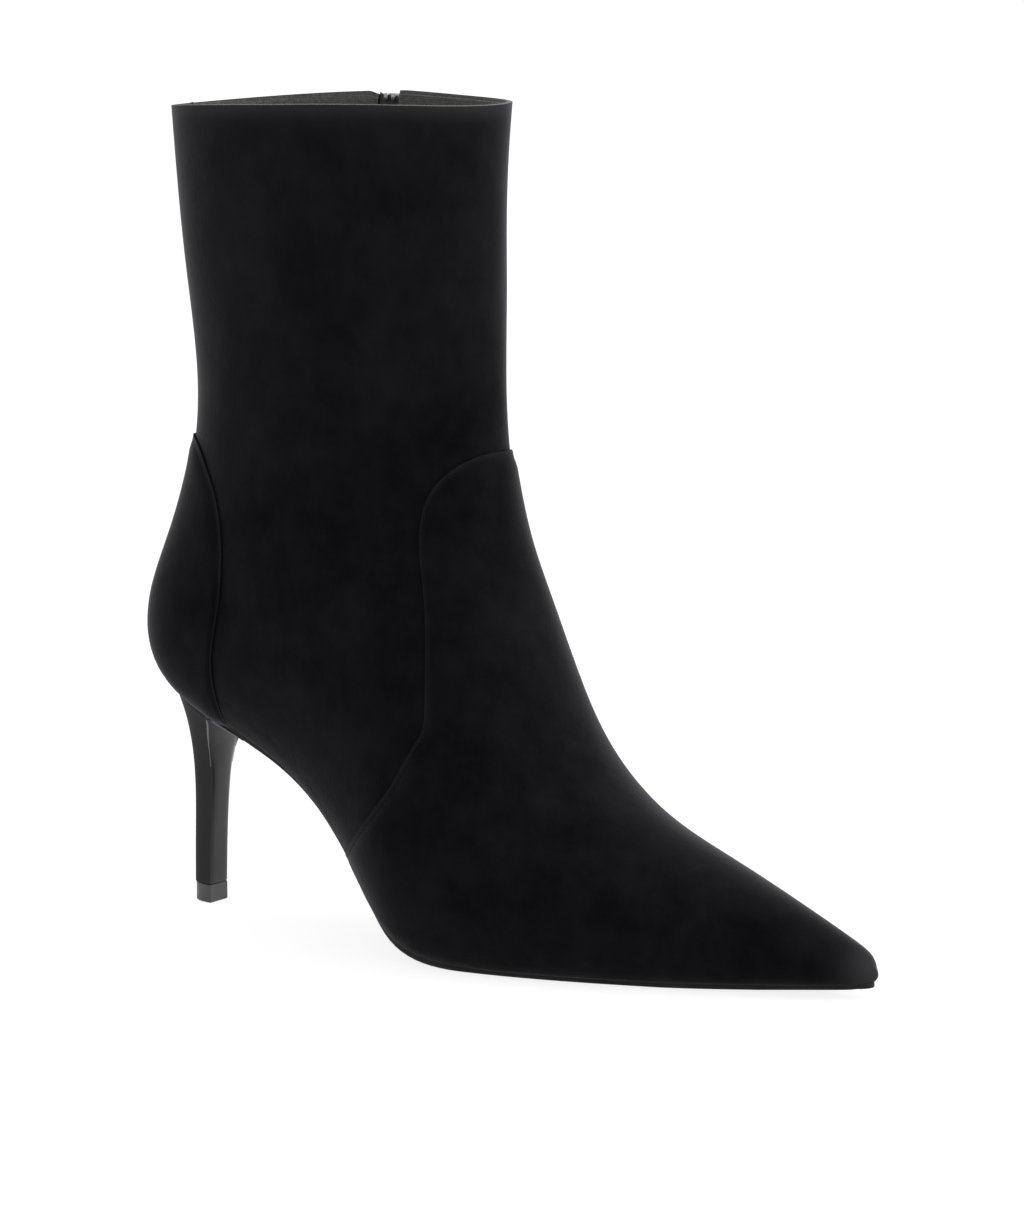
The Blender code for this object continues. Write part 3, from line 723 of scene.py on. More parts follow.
def smooth_step(u):
    u = np.clip(u, 0.0, 1.0)
    return u * u * (3 - 2 * u)


def between(value, limits):
    """A smooth rise from 0 to 1 between two limits."""
    return smooth_step((value - limits[0]) / (limits[1] - limits[0]))


def pared(full, from_edge):
    """The height of an overlay over the quarter, thin at its seam."""
    return EDGE_STEP + (full - WALL - EDGE_STEP) * smooth_step(from_edge / EDGE_PARED)


def sheen_paint(share, away, run):
    """A painted sheen: a lighter tone that fades with the distance from an edge."""
    return share * np.exp(-((away / run) ** 2))


# Soft dents and swells of the suede: station, share, reach along, reach round, height
UNDULATIONS = [
    (12.6, -0.62, 1.1, 0.16, -0.45),
    (13.9, -0.50, 0.9, 0.20, 0.35),
    (11.2, -0.55, 0.8, 0.14, 0.35),
    (15.4, -0.42, 0.8, 0.18, -0.30),
    (9.4, -0.45, 0.7, 0.14, -0.35),
    (12.4, 0.62, 1.0, 0.16, -0.40),
    (10.6, 0.48, 0.8, 0.15, 0.35),
    (8.4, -0.72, 0.8, 0.14, -0.30),
    (6.6, -0.60, 0.9, 0.16, 0.25),
    (7.0, 0.66, 0.9, 0.15, -0.25),
]


def undulation(station, share):
    found = np.zeros(np.broadcast(station, share).shape)
    for t, s, reach_t, reach_s, height in UNDULATIONS:
        away = ((share - s + 1) % 2 - 1) / reach_s
        found += height * np.exp(-(((station - t) / reach_t) ** 2) - away**2)
    return found


# Upper: the quarters, with a finished collar, the zip's slot and a seam down the back
UPPER_FIRST = 6.0
UPPER_EVEN = 180
UPPER_REST = 110
UPPER_ROUND = 0.8
LINING_ROOM = 0.05
CALM_COLLAR = 25.0
DIP = 1.1
DIP_RUN = 4.0
DIP_DEPTH = 8.0
CLOSE = 1e-6
# A painted sheen, a lighter tone, along the collar's edge
COLLAR_PAINTED_SHEEN = 0.55
COLLAR_PAINTED_SHEEN_RUN = 3.5
# Painted light that lifts the upper shaft's tone
SHAFT_PAINTED_LIGHT = 0.07
SHAFT_PAINTED_LIGHT_FROM = (11.5, 15.5)
BACK_SEAM_FIRST = 15.0
BACK_SEAM_WIDTH = 0.5
BACK_SEAM_DEPTH = 0.35
BACK_SEAM_RISE = 0.3
BACK_SEAM_FADE = 2.5
SLOT_STEPS = np.array([0.4, 0.8, 1.2, 1.6, 2.0, 2.4, 2.8, 3.4, 4.2])
SLOT_BELOW = 0.05
SEAM_STEPS = np.array([0.0, 0.25, 0.5, 0.8, 1.2, 1.8, 2.6])
COLUMN_CLEAR = 0.006
zip_low, zip_high = ZIP_SHARE - ZIP_HALF_SHARE, ZIP_SHARE + ZIP_HALF_SHARE
collar_half = half_length[1][-1]


def upper_columns():
    """Shares round the upper: even ones, and close ones at the zip's slot and the back seam."""
    even = np.linspace(-1, 1, UPPER_EVEN + 1)[:-1]
    slot_edges = np.array([zip_low, zip_high])
    near_slot = np.concatenate([zip_low - SLOT_STEPS / collar_half, zip_high + SLOT_STEPS / collar_half])
    near_back = np.concatenate([-SEAM_STEPS[1:], SEAM_STEPS]) / collar_half
    clear_slot = (even < near_slot.min() - COLUMN_CLEAR) | (even > near_slot.max() + COLUMN_CLEAR)
    clear_back = np.abs(even) > near_back.max() + COLUMN_CLEAR
    return np.sort(np.concatenate([even[clear_slot & clear_back], slot_edges, near_slot, near_back]))


def straight_path(b, share):
    return UPPER_FIRST + (COLLAR - UPPER_FIRST) * b, share


def add_shell(name, points, station, look, turned=False, painted_sheen_and_tone=None):
    """A new piece round the whole shaft, open over the zip's slot."""
    middle = (columns + np.roll(columns, -1)) / 2
    in_slot = (middle > zip_low) & (middle < zip_high)
    keep = ~((station[:-1] >= ZIP_FOOT) & in_slot)
    faces = grid_faces(*station.shape, closed=True, keep=keep, turned=turned)
    used = sorted({v for face in faces for v in face})
    number = {old: new for new, old in enumerate(used)}
    faces = [tuple(number[v] for v in face) for face in faces]
    if painted_sheen_and_tone is not None:
        painted_sheen_and_tone = painted_sheen_and_tone.ravel()[used]
    return add_mesh(name, points.reshape(-1, 3)[used], faces, look, painted_sheen_and_tone=painted_sheen_and_tone)


def zip_dip(share, from_collar):
    """How far the collar's edge sinks behind the zip."""
    behind = (zip_low - share) * collar_half
    near = np.where(behind > -CLOSE, smooth_step(1 - behind / DIP_RUN), 0.0)
    return DIP * near * smooth_step(1 - from_collar / DIP_DEPTH)


columns = upper_columns()
station, share, from_collar = edge_spaced(straight_path, columns, UPPER_REST)
from_slot = np.minimum(np.abs(share - zip_low), np.abs(share - zip_high)) * by_side(half_length, station, 1)
beside_zip = (station > ZIP_FOOT - SLOT_BELOW) & (share > 0)
out = WALL + undulation(station, share) * np.clip(from_collar / CALM_COLLAR, 0, 1)
out -= np.where(beside_zip, groove(from_slot, STITCH_AT, STITCH_WIDTH, STITCH_DEPTH), 0.0)
back_run = np.abs(share) * by_side(half_length, station, 1)
back_depth = BACK_SEAM_DEPTH * np.clip((station - BACK_SEAM_FIRST) / BACK_SEAM_RISE, 0, 1)
back_depth *= np.clip(from_collar / BACK_SEAM_FADE, 0, 1)
out -= groove(back_run, 0.0, BACK_SEAM_WIDTH, back_depth)
upper_points = skin(station, share, out)
upper_points[..., 2] -= zip_dip(share, from_collar)
# Painted sheen at the collar and painted light up the shaft
painted_sheen_and_tone = sheen_paint(COLLAR_PAINTED_SHEEN, from_collar, COLLAR_PAINTED_SHEEN_RUN) + SHAFT_PAINTED_LIGHT * between(station, SHAFT_PAINTED_LIGHT_FROM)
upper = add_shell("upper_suede", upper_points, station, suede, painted_sheen_and_tone=painted_sheen_and_tone)
thick(upper, WALL - LINING_ROOM, UPPER_ROUND)
# Painted shade: less sheen on the faces that look down
shade_under(upper)
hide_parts("upper")

# Stitches beside the zip, down one side, across the foot and up the other
ZIP_STITCH_TOP = COLLAR - 0.12
ZIP_STITCH_FOOT = ZIP_FOOT - 0.10
ZIP_SIDE_STEPS = 90
ZIP_FOOT_STEPS = 12
zip_aside = STITCH_AT / collar_half
side_stations = np.linspace(ZIP_STITCH_TOP, ZIP_STITCH_FOOT, ZIP_SIDE_STEPS)
foot_shares = np.linspace(zip_low - zip_aside, zip_high + zip_aside, ZIP_FOOT_STEPS)[1:-1]
foot_stations = np.full_like(foot_shares, ZIP_STITCH_FOOT)
zip_line_station = np.concatenate([side_stations, foot_stations, side_stations[::-1]])
zip_line_share = np.concatenate([
    np.full(ZIP_SIDE_STEPS, zip_low - zip_aside), foot_shares, np.full(ZIP_SIDE_STEPS, zip_high + zip_aside),
])
zip_line = skin(zip_line_station, zip_line_share, WALL - STITCH_DEPTH)
stitch_row("zip_stitches", zip_line, normals(zip_line_station, zip_line_share))

# Lining: the inside, from the toe to the collar, turned over its edge
LINING_OUT = -0.5
# First and last station and number of rows, at the toe and over the rest
LINING_TOE = (0.4, 3.0, 20)
LINING_REST = (3.2, COLLAR - 0.08, 110)
UNDER_COLLAR = 0.1
EDGE_MIDDLE = 0.9
EDGE_ROUND = 0.97
EDGE_SQUARE = 0.5
EDGE_ANGLES = np.radians((180, 170, 155, 135, 110, 90, 70, 45))
COLLAR_STEP = 19.0
lining_stations = np.concatenate([np.linspace(*LINING_TOE), np.linspace(*LINING_REST)])
station, share = np.meshgrid(lining_stations, columns, indexing="ij")
lining_points = skin(station, share, LINING_OUT)
lining_points[..., 2] -= zip_dip(share, (COLLAR - station) * COLLAR_STEP)
collar_up = unit(skin(COLLAR, columns, 0.0) - skin(COLLAR - UNDER_COLLAR, columns, 0.0))
turned_over = []
for angle in EDGE_ANGLES:
    aside, above = square_turn(angle, EDGE_SQUARE)
    edge = skin(COLLAR, columns, EDGE_MIDDLE + EDGE_ROUND * aside)
    edge += collar_up * (EDGE_ROUND * above - EDGE_MIDDLE)
    edge[:, 2] -= zip_dip(columns, 0.0)
    turned_over.append(edge)
lining_points = np.concatenate([lining_points, np.array(turned_over)])
all_stations = np.concatenate([station, np.full((len(turned_over), len(columns)), float(COLLAR))])
lining = add_shell("lining", lining_points, all_stations, lining_look, turned=True)

# Vamp: an overlay from the toe to its seam, closed by a keel at the toe's front
VAMP_COLUMNS = 141
VAMP_REST = 100
VAMP_ROUND = 0.55
CALM_SEAM = 20.0
CALM_TOE = 3.0
NOSE_ROWS = 7
TOE_EDGE_SHARE = 0.35
TOE_CLAMP = 2.0
ARCH_FADE = (5.5, 7.5)
ARCH_FADE_CLIMB = 0.3
ARCH_FADE_DEPTH = 0.85
KEEL_ROWS = [(0.0, 239.5, 5.4), (0.3, 240.4, 6.6), (0.6, 240.6, 8.0), (1.0, 239.7, 9.8)]
KEEL_Y = SECTION_ROWS[0][SECTION_COLUMNS.index("middle_y")]
TOE_FRONT = 240.6
# A painted highlight, a lighter tone, on the toe's nose
TOE_PAINTED_SHEEN = 0.9
TOE_PAINTED_SHEEN_RUN = 7.5
CUT_EDGE_FROM = 150.0


def vamp_path(b, a):
    """Stations and shares of the vamp, b of the way to its seam; a runs from the outer to the inner edge."""
    climb = 1 - np.abs(a)
    side = np.where(a < 0, -1, 1)
    station = b * vamp_seam(climb)
    wing = by_side(side_half, station, side) - by_side(flat_half, station, side)
    edge = feather_share(station, side, np.minimum(EDGE_ABOVE_SOLE, TOE_EDGE_SHARE * wing))
    return station, side * (edge + (1 - edge) * climb)


def toe_cap(ring, before, keel_line, count):
    """Rows from the keel to the first ring, leaving the ring in its own direction."""
    start = unit(ring - before)
    reach = np.linalg.norm(keel_line - ring, axis=1, keepdims=True)
    end = (keel_line - ring) * np.array([0.0, 1.0, 0.0])
    rows = []
    for u in np.linspace(1, 0, count + 1)[:-1]:
        h = (2 * u**3 - 3 * u**2 + 1, u**3 - 2 * u**2 + u, 3 * u**2 - 2 * u**3, u**3 - u**2)
        rows.append(h[0] * ring + h[1] * start * reach + h[2] * keel_line + h[3] * end)
    return np.array(rows)


vamp_columns = np.linspace(-1, 1, VAMP_COLUMNS)
station, share, from_seam = edge_spaced(vamp_path, vamp_columns, VAMP_REST)
climb = 1 - np.abs(vamp_columns)
low_down = 1 - smooth_step(climb / ARCH_FADE_CLIMB)
out = WALL + pared(VAMP_OUT, from_seam) * (1 - ARCH_FADE_DEPTH * between(station, ARCH_FADE) * low_down)
out += undulation(station, share) * np.clip(from_seam / CALM_SEAM, 0, 1) * np.clip(station / CALM_TOE, 0, 1)
out -= groove(from_seam, STITCH_AT, STITCH_WIDTH, STITCH_DEPTH)
vamp_points = skin(station, share, out)
sole_top = skin(station, np.zeros_like(station), WALL + GAP)[..., 2]
lowest = sole_top - TOE_CLAMP * smooth_step(station / TOE_CLAMP)
vamp_points[..., 2] = np.maximum(vamp_points[..., 2], lowest)
keel_x, keel_z = smooth_lookup(KEEL_ROWS)(climb)
keel_line = np.stack([keel_x, np.full(VAMP_COLUMNS, KEEL_Y), keel_z], axis=1)
cap = toe_cap(vamp_points[0], vamp_points[1], keel_line, NOSE_ROWS)
whole = np.concatenate([cap, vamp_points])
# Painted sheen along the seam's edge and a painted highlight on the nose
painted_sheen_and_tone = np.concatenate([np.zeros(cap.shape[:2]), sheen_paint(EDGE_PAINTED_SHEEN, from_seam, EDGE_PAINTED_SHEEN_RUN)])
painted_sheen_and_tone += sheen_paint(TOE_PAINTED_SHEEN, TOE_FRONT - whole[..., 0], TOE_PAINTED_SHEEN_RUN)
vamp = add_sheet("vamp_suede", whole, suede, turned=True, painted_sheen_and_tone=painted_sheen_and_tone.ravel())
rework(vamp, lambda bm: bmesh.ops.remove_doubles(bm, verts=bm.verts, dist=WELD * MM))
thick(vamp, VAMP_OUT - WALL + OVERLAY_SINK, VAMP_ROUND, cut_edge)
for face in vamp.data.polygons:
    if face.center.x > place((CUT_EDGE_FROM, 0.0, 0.0))[0]:
        face.material_index = 0
# Painted shade: less sheen on the faces that look down
shade_under(vamp)
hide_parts("vamp")
seam_stitches("vamp_stitches", vamp_points, station, share, from_seam[:, 0])

# Counter: a cup round the heel
COUNTER_COLUMNS = 121
COUNTER_REST = 40
COUNTER_CORNER = (0.8, 1.0)
COUNTER_ROUND = 0.5


def counter_low(c, edge):
    """Station and share of the counter's lower edge; c runs from the outer corner to the inner one."""
    side = np.where(c < 0, -1, 1)
    station = COUNTER_BACK + (COUNTER_FRONT - COUNTER_BACK) * np.abs(c)
    half = (seat_half(station, side) + edge) * np.minimum(1.0, COUNTER_SPREAD * np.abs(c))
    return station, half / by_side(half_length, station, side)


def counter_path(b, c):
    low_station, low_share = counter_low(c, EDGE_ABOVE_SOLE)
    high_station, high_share = counter_seam(np.abs(c))
    share = low_share + (high_share - low_share) * b
    return low_station + (high_station - low_station) * b, np.where(c < 0, -1, 1) * share


counter_columns = np.linspace(-1, 1, COUNTER_COLUMNS)
station, share, from_seam = edge_spaced(counter_path, counter_columns, COUNTER_REST)
near_corner = between(np.abs(counter_columns), COUNTER_CORNER)
out = WALL + pared(COUNTER_OUT, from_seam) * (1 - ARCH_FADE_DEPTH * near_corner)
out -= groove(from_seam, STITCH_AT, STITCH_WIDTH, STITCH_DEPTH)
counter_points = skin(station, share, out)
# Painted sheen along the seam's edge
painted_sheen_and_tone = sheen_paint(EDGE_PAINTED_SHEEN, from_seam, EDGE_PAINTED_SHEEN_RUN).ravel()
counter = add_sheet("counter_suede", counter_points, counter_look, painted_sheen_and_tone=painted_sheen_and_tone)
thick(counter, COUNTER_OUT - WALL + OVERLAY_SINK, COUNTER_ROUND, cut_edge)
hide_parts("counter")
seam_stitches("counter_stitches", counter_points, station, share, from_seam[:, COUNTER_COLUMNS // 2])

# Outsole: a thin tread with rounded edges
SOLE_EDGE = 1.0
SOLE_EDGE_MOST = 0.45
SOLE_TOE_REACH = 2.2
SOLE_TOE_RUN = 3.0
NOSE_ANGLES = np.radians((20, 40, 58, 72, 82))
NOSE_FLAT = 0.7
# First and last station and number of rings, at the toe and over the rest
SOLE_TOE = (SOLE_TIP, 3.0, 30)
SOLE_REST = (3.1, SOLE_LAST, 70)
SEAT_STATIONS = np.linspace(9.5, 13.2, 60)
CORNER_ANGLES = np.linspace(0, math.pi / 2, 5)


def seat_height(x, out):
    """The height of the last's bottom at x, that far outside it."""
    line = skin(SEAT_STATIONS, 0.0, out)
    return np.interp(-x, -line[:, 0], line[:, 2])


def sole_ring(station, top, low):
    """A section of the sole: down the outer side, across the tread and up the inner side."""
    reach = SOLE_REACH + SOLE_TOE_REACH * (1 - smooth_step(station / SOLE_TOE_RUN))
    middle = np.interp(station, TABLE_STATIONS, middle_y)
    lateral = middle - by_side(flat_half, station, -1) - reach
    medial = middle + by_side(flat_half, station, 1) + reach
    depth = np.linalg.norm(top - low)
    round_edge = min(SOLE_EDGE, SOLE_EDGE_MOST * depth, SOLE_EDGE_MOST * (medial - lateral))
    ring = []
    for y, side in ((lateral, -1), (medial, 1)):
        edge = [(top[0], y, top[2])]
        for angle in CORNER_ANGLES:
            point = low + unit(top - low) * round_edge * (1 - math.sin(angle))
            edge.append((point[0], y - side * round_edge * (1 - math.cos(angle)), point[2]))
        ring += edge if side < 0 else edge[::-1]
    return ring


breast_x = float(skin(HEEL_BREAST, 0.0, WALL + GAP)[0])
thick_station, thick_value = zip(*SOLE_THICKNESS)
sole_rings = []
for t in np.concatenate([np.linspace(*SOLE_TOE), np.linspace(*SOLE_REST)]):
    top = skin(t, 0.0, WALL + GAP)
    low = skin(t, 0.0, WALL + GAP + np.interp(t, thick_station, thick_value))
    low[2] = max(0.0, low[2])
    sole_rings.append(sole_ring(t, top, low))
first_ring = np.array(sole_rings[0])
middle = first_ring.mean(axis=0)
for angle in NOSE_ANGLES:
    narrow = np.array([1.0, math.cos(angle), NOSE_FLAT + (1 - NOSE_FLAT) * math.cos(angle)])
    forward = np.array([SOLE_NOSE, 0.0, SOLE_NOSE_RISE]) * math.sin(angle)
    sole_rings.insert(0, middle + (first_ring - middle) * narrow + forward)
end_top = np.array([breast_x, 0.0, seat_height(breast_x, WALL + GAP)])
end_low = np.array([breast_x, 0.0, seat_height(breast_x, WALL + GAP + thick_value[-1])])
sole_rings.append(sole_ring(HEEL_BREAST, end_top, end_low))
outsole = tube("outsole_leather", sole_rings, sole_look)
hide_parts("outsole")

# Sock: the padded board under the foot
SOCK_OUT = -(GAP + 1.5)
SOCK_CROWN = 0.4
SOCK_THICKNESS = 1.1
SOCK_ROUND = 0.4
SOCK_STATIONS = np.linspace(1.0, 12.0, 120)
SOCK_ACROSS = np.linspace(-1, 1, 25)
sock_points = np.zeros((len(SOCK_STATIONS), len(SOCK_ACROSS), 3))
for i, t in enumerate(SOCK_STATIONS):
    base = skin(t, 0.0, SOCK_OUT)
    half = by_side(flat_half, t, SOCK_ACROSS)
    sock_points[i, :, 0] = base[0]
    sock_points[i, :, 1] = np.interp(t, TABLE_STATIONS, middle_y) + SOCK_ACROSS * half
    sock_points[i, :, 2] = base[2] + SOCK_CROWN * (1 - SOCK_ACROSS**4)
sock = add_sheet("sock", sock_points, lining_look)
thick(sock, SOCK_THICKNESS, SOCK_ROUND)
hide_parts("insole")

# Heel: a slim D section that flares into the seat
HEEL_TURN = 49
HEEL_LEVELS = 70
SEAT_OUT = COUNTER_OUT + 0.05
SEAT_EDGE = 2.6
FRONT_POINTS = 23
# How much the heel's front bulges at each row, as a share of the half width
BREAST_BULGE = (0.02, 0.02, 0.07, 0.12, 0.12, 0.12)
HEEL_FADE = (5.4, 5.9)


def across_front(start, end):
    """Points between the two corners of the heel's front."""
    share = np.linspace(0, 1, FRONT_POINTS + 2)[1:-1, None]
    return start * (1 - share) + end * share


def d_ring(front_x, front_z, back_x, back_z, half_width, bulge=0.0):
    """A D: round the back of the heel, then across its front, which bulges by a share of the width."""
    angle = np.linspace(0, math.pi, HEEL_TURN)
    back = np.sin(angle)
    round_back = np.stack([
        front_x + (back_x - front_x) * back,
        -half_width * np.cos(angle),
        front_z + (back_z - front_z) * back,
    ], axis=1)
    front = across_front(round_back[-1], round_back[0])
    front[:, 0] += bulge * half_width * (1 - (front[:, 1] / half_width) ** 2)
    return np.concatenate([round_back, front])


breast_turn = (COUNTER_BACK - HEEL_BREAST) / (COUNTER_BACK - COUNTER_FRONT)
seat_turn = np.linspace(-1, 1, HEEL_TURN)
seat_c = breast_turn * np.sign(seat_turn) * (1 - np.cos(seat_turn * math.pi / 2))
seat_station, seat_share = counter_low(seat_c, SEAT_EDGE)
seat_ring = skin(seat_station, np.where(seat_c < 0, -1, 1) * seat_share, SEAT_OUT)
seat_ring = np.concatenate([seat_ring, across_front(seat_ring[-1], seat_ring[0])])
heel_rows = np.array([d_ring(*row, bulge) for row, bulge in zip(HEEL_ROWS, BREAST_BULGE)] + [seat_ring])
heel_curve = natural_spline(heel_rows.reshape(len(heel_rows), -1))
heel_levels = np.linspace(0, len(heel_rows) - 1, HEEL_LEVELS)
heel_rings = np.array([heel_curve(level).reshape(-1, 3) for level in heel_levels])
# The heel's own lighter tone, fading to the nap's tones over its top rows where it meets the counter
heel = tube("heel_cover", heel_rings, heel_suede, painted_sheen_and_tone=1 - between(heel_levels, HEEL_FADE))
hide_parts("heel")

# Breast: the glossy covering on the heel's front, thinner to its sides
BREAST_PARED = 0.75
BREAST_THICKNESS = 0.5
BREAST_ROUND = 0.15
last_back = HEEL_TURN - 1
fronts = np.concatenate([
    heel_rings[:, :1], heel_rings[:, :last_back:-1], heel_rings[:, last_back : last_back + 1],
], axis=1)
across = np.linspace(-1, 1, FRONT_POINTS + 2)
breast_points = fronts[:, ::-1].copy()
breast_points[..., 0] += BREAST_OUT * (1 - BREAST_PARED * across**6)
breast = add_sheet("breast_cover", breast_points, breast_look)
thick(breast, BREAST_THICKNESS, BREAST_ROUND)
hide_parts("heel_breast")

# Beads, pale as a painted highlight: one up each side of the breast, thickest at the sole, on which it runs
# forward
BEAD_ASIDE = np.array([0.6, 0.2, 0.8])
BEAD_TURN = 8
BEAD_FIRST = 2.7
BEAD_SOLE_RINGS = 6
BEAD_OFF = 0.75
BEAD_BACK = 1.0
BEAD_RADIUS = 0.38
SOLE_BEAD = 0.6
BEAD_LEAST = 0.2
BEAD_RUN = 17.0
# Each bead's edge of the front and its lower corner in a ring of the sole
BEADS = {"breast_bead_outer": (0, 3), "breast_bead_inner": (-1, -4)}


def bead(name, path, radii, look):
    """A round bead along a path of points, thick or thin as the radii say."""
    turn = np.linspace(0, 2 * math.pi, BEAD_TURN + 1)[:-1, None]
    rings = []
    for point, along, radius in zip(path, unit(np.gradient(path, axis=0)), radii):
        first_axis = unit(np.cross(along, BEAD_ASIDE))
        second_axis = np.cross(along, first_axis)
        rings.append(point + radius * (np.cos(turn) * first_axis + np.sin(turn) * second_axis))
    return tube(name, rings, look)


def bead_radii(line, start, radius):
    """Radii that shrink with the distance from the start."""
    return radius * np.maximum(BEAD_LEAST, 1 - np.linalg.norm(line - start, axis=1) / BEAD_RUN)


for name, (column, corner) in BEADS.items():
    sole_line = np.array([ring[corner] for ring in sole_rings[: -BEAD_SOLE_RINGS - 1 : -1]])
    turn_point = sole_line[0] + unit(sole_line[0] - sole_line[1]) * BEAD_BACK
    sole_line = np.concatenate([turn_point[None], sole_line])
    sole_radii = bead_radii(sole_line, turn_point, SOLE_BEAD)
    sole_line += sole_radii[:, None] * np.array([0.0, np.sign(turn_point[1]) * BEAD_OFF, -BEAD_OFF])
    top_level = int(np.argmin(np.abs(fronts[:, column, 2] - sole_line[0, 2])))
    first_level = int(np.argmin(np.abs(heel_levels - BEAD_FIRST)))
    breast_line = fronts[first_level:top_level, column] + np.array([BREAST_OUT / 2, 0.0, 0.0])
    breast_radii = bead_radii(breast_line, turn_point, BEAD_RADIUS)
    bead_path = np.concatenate([breast_line, sole_line])
    breast_bead = bead(name, bead_path, np.concatenate([breast_radii, sole_radii]), bead_highlight_look)

# Top piece
TIP_FRONT = 2.55
TIP_REAR = -5.75
TIP_HALF = 4.3
TIP_ROUND = 0.3
TIP_LEVELS = (
    (0.0, TIP_ROUND), (TIP_ROUND, 0.0), (TOP_PIECE_HEIGHT - TIP_ROUND, 0.0), (TOP_PIECE_HEIGHT, TIP_ROUND),
)
tip_rings = [d_ring(TIP_FRONT - inset, z, TIP_REAR + inset, z, TIP_HALF - inset) for z, inset in TIP_LEVELS]
tip = tube("heel_tip", tip_rings, tip_look)
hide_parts("top_piece")

# Zip tapes
TAPE_OUT = 0.75
TAPE_SPLIT = 0.15
TAPE_SLOPE = 1.5
TAPE_THICKNESS = 0.5
TAPE_ROUND = 0.1
TAPE_ROWS = 120
TAPE_ACROSS = 9
# Top of each tape, in stations below the collar, at the middle of the zip and at the slot's edge
TAPE_TOPS = {-1: (0.10, 0.02), 1: (0.05, 0.14)}
for name, side in (("zip_tape_back", -1), ("zip_tape_front", 1)):
    edge = zip_low if side < 0 else zip_high
    aside = np.linspace(0, 1, TAPE_ACROSS)
    inner = ZIP_SHARE + side * TAPE_SPLIT / collar_half
    tape_top = COLLAR - np.interp(aside**TAPE_SLOPE, (0, 1), TAPE_TOPS[side])
    station = ZIP_FOOT + (tape_top - ZIP_FOOT) * np.linspace(0, 1, TAPE_ROWS)[:, None]
    points = skin(station, inner + (edge - inner) * aside, TAPE_OUT)
    tape = add_sheet(name, points[:, ::-1] if side < 0 else points, tape_look, turned=True)
    thick(tape, TAPE_THICKNESS, TAPE_ROUND)
    if side < 0:
        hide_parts("zip_tape")

# Zip teeth, with a stop over each row
TOOTH_PITCH = 1.3
TOOTH_REACH = 2.3
TOOTH_PAST = 0.45
TOOTH_HIGH = 1.0
TOOTH_SIZE = (TOOTH_REACH + TOOTH_PAST, 1.0, TOOTH_HIGH)
TOOTH_ROUND = 0.22
TOOTH_SINK = 0.15
TEETH_FIRST = ZIP_FOOT + 0.05
TEETH_LAST = SLIDER_STATION - 0.27
TEETH_LINE = 400
STOP_STATION = COLLAR - 0.11
STOP_ASIDE = 1.3
STOP_SINK = 0.1
STOP_SIZE = (1.5, 2.4, 1.7)
STOP_ROUND = 0.3
BLOCK_SEGMENTS = 2
BLOCK_PROFILE = 0.5


def solid_of(bm):
    """The points and faces of a mesh under work."""
    bm.verts.index_update()
    points = np.array([tuple(v.co) for v in bm.verts])
    faces = [tuple(v.index for v in face.verts) for face in bm.faces]
    bm.free()
    return points, faces


def rounded_block(centre, axes, sizes, cut):
    """A block with its edges cut off, as points and faces."""
    bm = bmesh.new()
    bmesh.ops.create_cube(bm, size=1.0)
    bmesh.ops.scale(bm, vec=sizes, verts=bm.verts)
    bmesh.ops.bevel(
        bm, geom=bm.edges[:], offset=cut, segments=BLOCK_SEGMENTS, affect="EDGES", profile=BLOCK_PROFILE
    )
    points, faces = solid_of(bm)
    return points @ np.array(axes) + centre, faces


teeth_stations = np.linspace(TEETH_FIRST, TEETH_LAST, TEETH_LINE)
teeth_line = skin(teeth_stations, ZIP_SHARE, TEETH_OUT - TOOTH_SINK)
teeth_normals = normals(teeth_stations, np.full_like(teeth_stations, ZIP_SHARE))
teeth = []
for k, (middle, along, up) in enumerate(places_along(teeth_line, teeth_normals, TOOTH_PITCH)):
    side_axis = np.cross(along, up)
    side = 1 if k % 2 else -1
    centre = middle + side_axis * side * (TOOTH_REACH - TOOTH_PAST) / 2 + up * TOOTH_HIGH / 2
    axes = (side_axis, along, up)
    teeth.append(rounded_block(centre, axes, TOOTH_SIZE, TOOTH_ROUND))
# The stops stand as the topmost tooth does
for side in SIDES:
    centre = skin(STOP_STATION, ZIP_SHARE, TAPE_OUT - STOP_SINK) + axes[0] * side * STOP_ASIDE
    teeth.append(rounded_block(centre, axes, STOP_SIZE, STOP_ROUND))
zip_teeth = add_mesh("zip_teeth_row", *gather(teeth), metal_look)
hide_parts("zip_teeth")

# Slider: two plates on rails; sizes and places run across, along and out from its seat on the teeth
SLIDER_RUN = 0.5
SLIDER_CORNER = 1.6
SLIDER_TAPER = 0.86
PLATE_LOW = 1.5
PLATE_ROUND = 0.35
PLATE_SHARP = math.radians(60)
PLATE_SEGMENTS = 3
PLATE_PROFILE = 0.6
BACK_PLATE_SHARE = 0.97
BACK_PLATE_HIGH = 0.7
BACK_PLATE_ROUND = 0.2
RAIL_SIZE = (0.8, 5.6, 1.4)
DIVIDER_SIZE = (1.3, 2.2, 1.4)
# Place, size and rounding of the two rails and the divider between them
RAIL_BLOCKS = (
    ((-2.35, -1.1, 1.1), RAIL_SIZE, 0.15),
    ((2.35, -1.1, 1.1), RAIL_SIZE, 0.15),
    ((0.0, 2.6, 1.1), DIVIDER_SIZE, 0.2),
)
slider_at = skin(SLIDER_STATION, ZIP_SHARE, TEETH_OUT)
up_axis = unit(skin(COLLAR, ZIP_SHARE, 0.0) - skin(COLLAR - SLIDER_RUN, ZIP_SHARE, 0.0))
out_axis = normals(SLIDER_STATION, ZIP_SHARE)
out_axis = unit(out_axis - up_axis * out_axis.dot(up_axis))
slider_axes = np.array([np.cross(up_axis, out_axis), up_axis, out_axis])


def on_slider(points):
    return np.asarray(points) @ slider_axes + slider_at


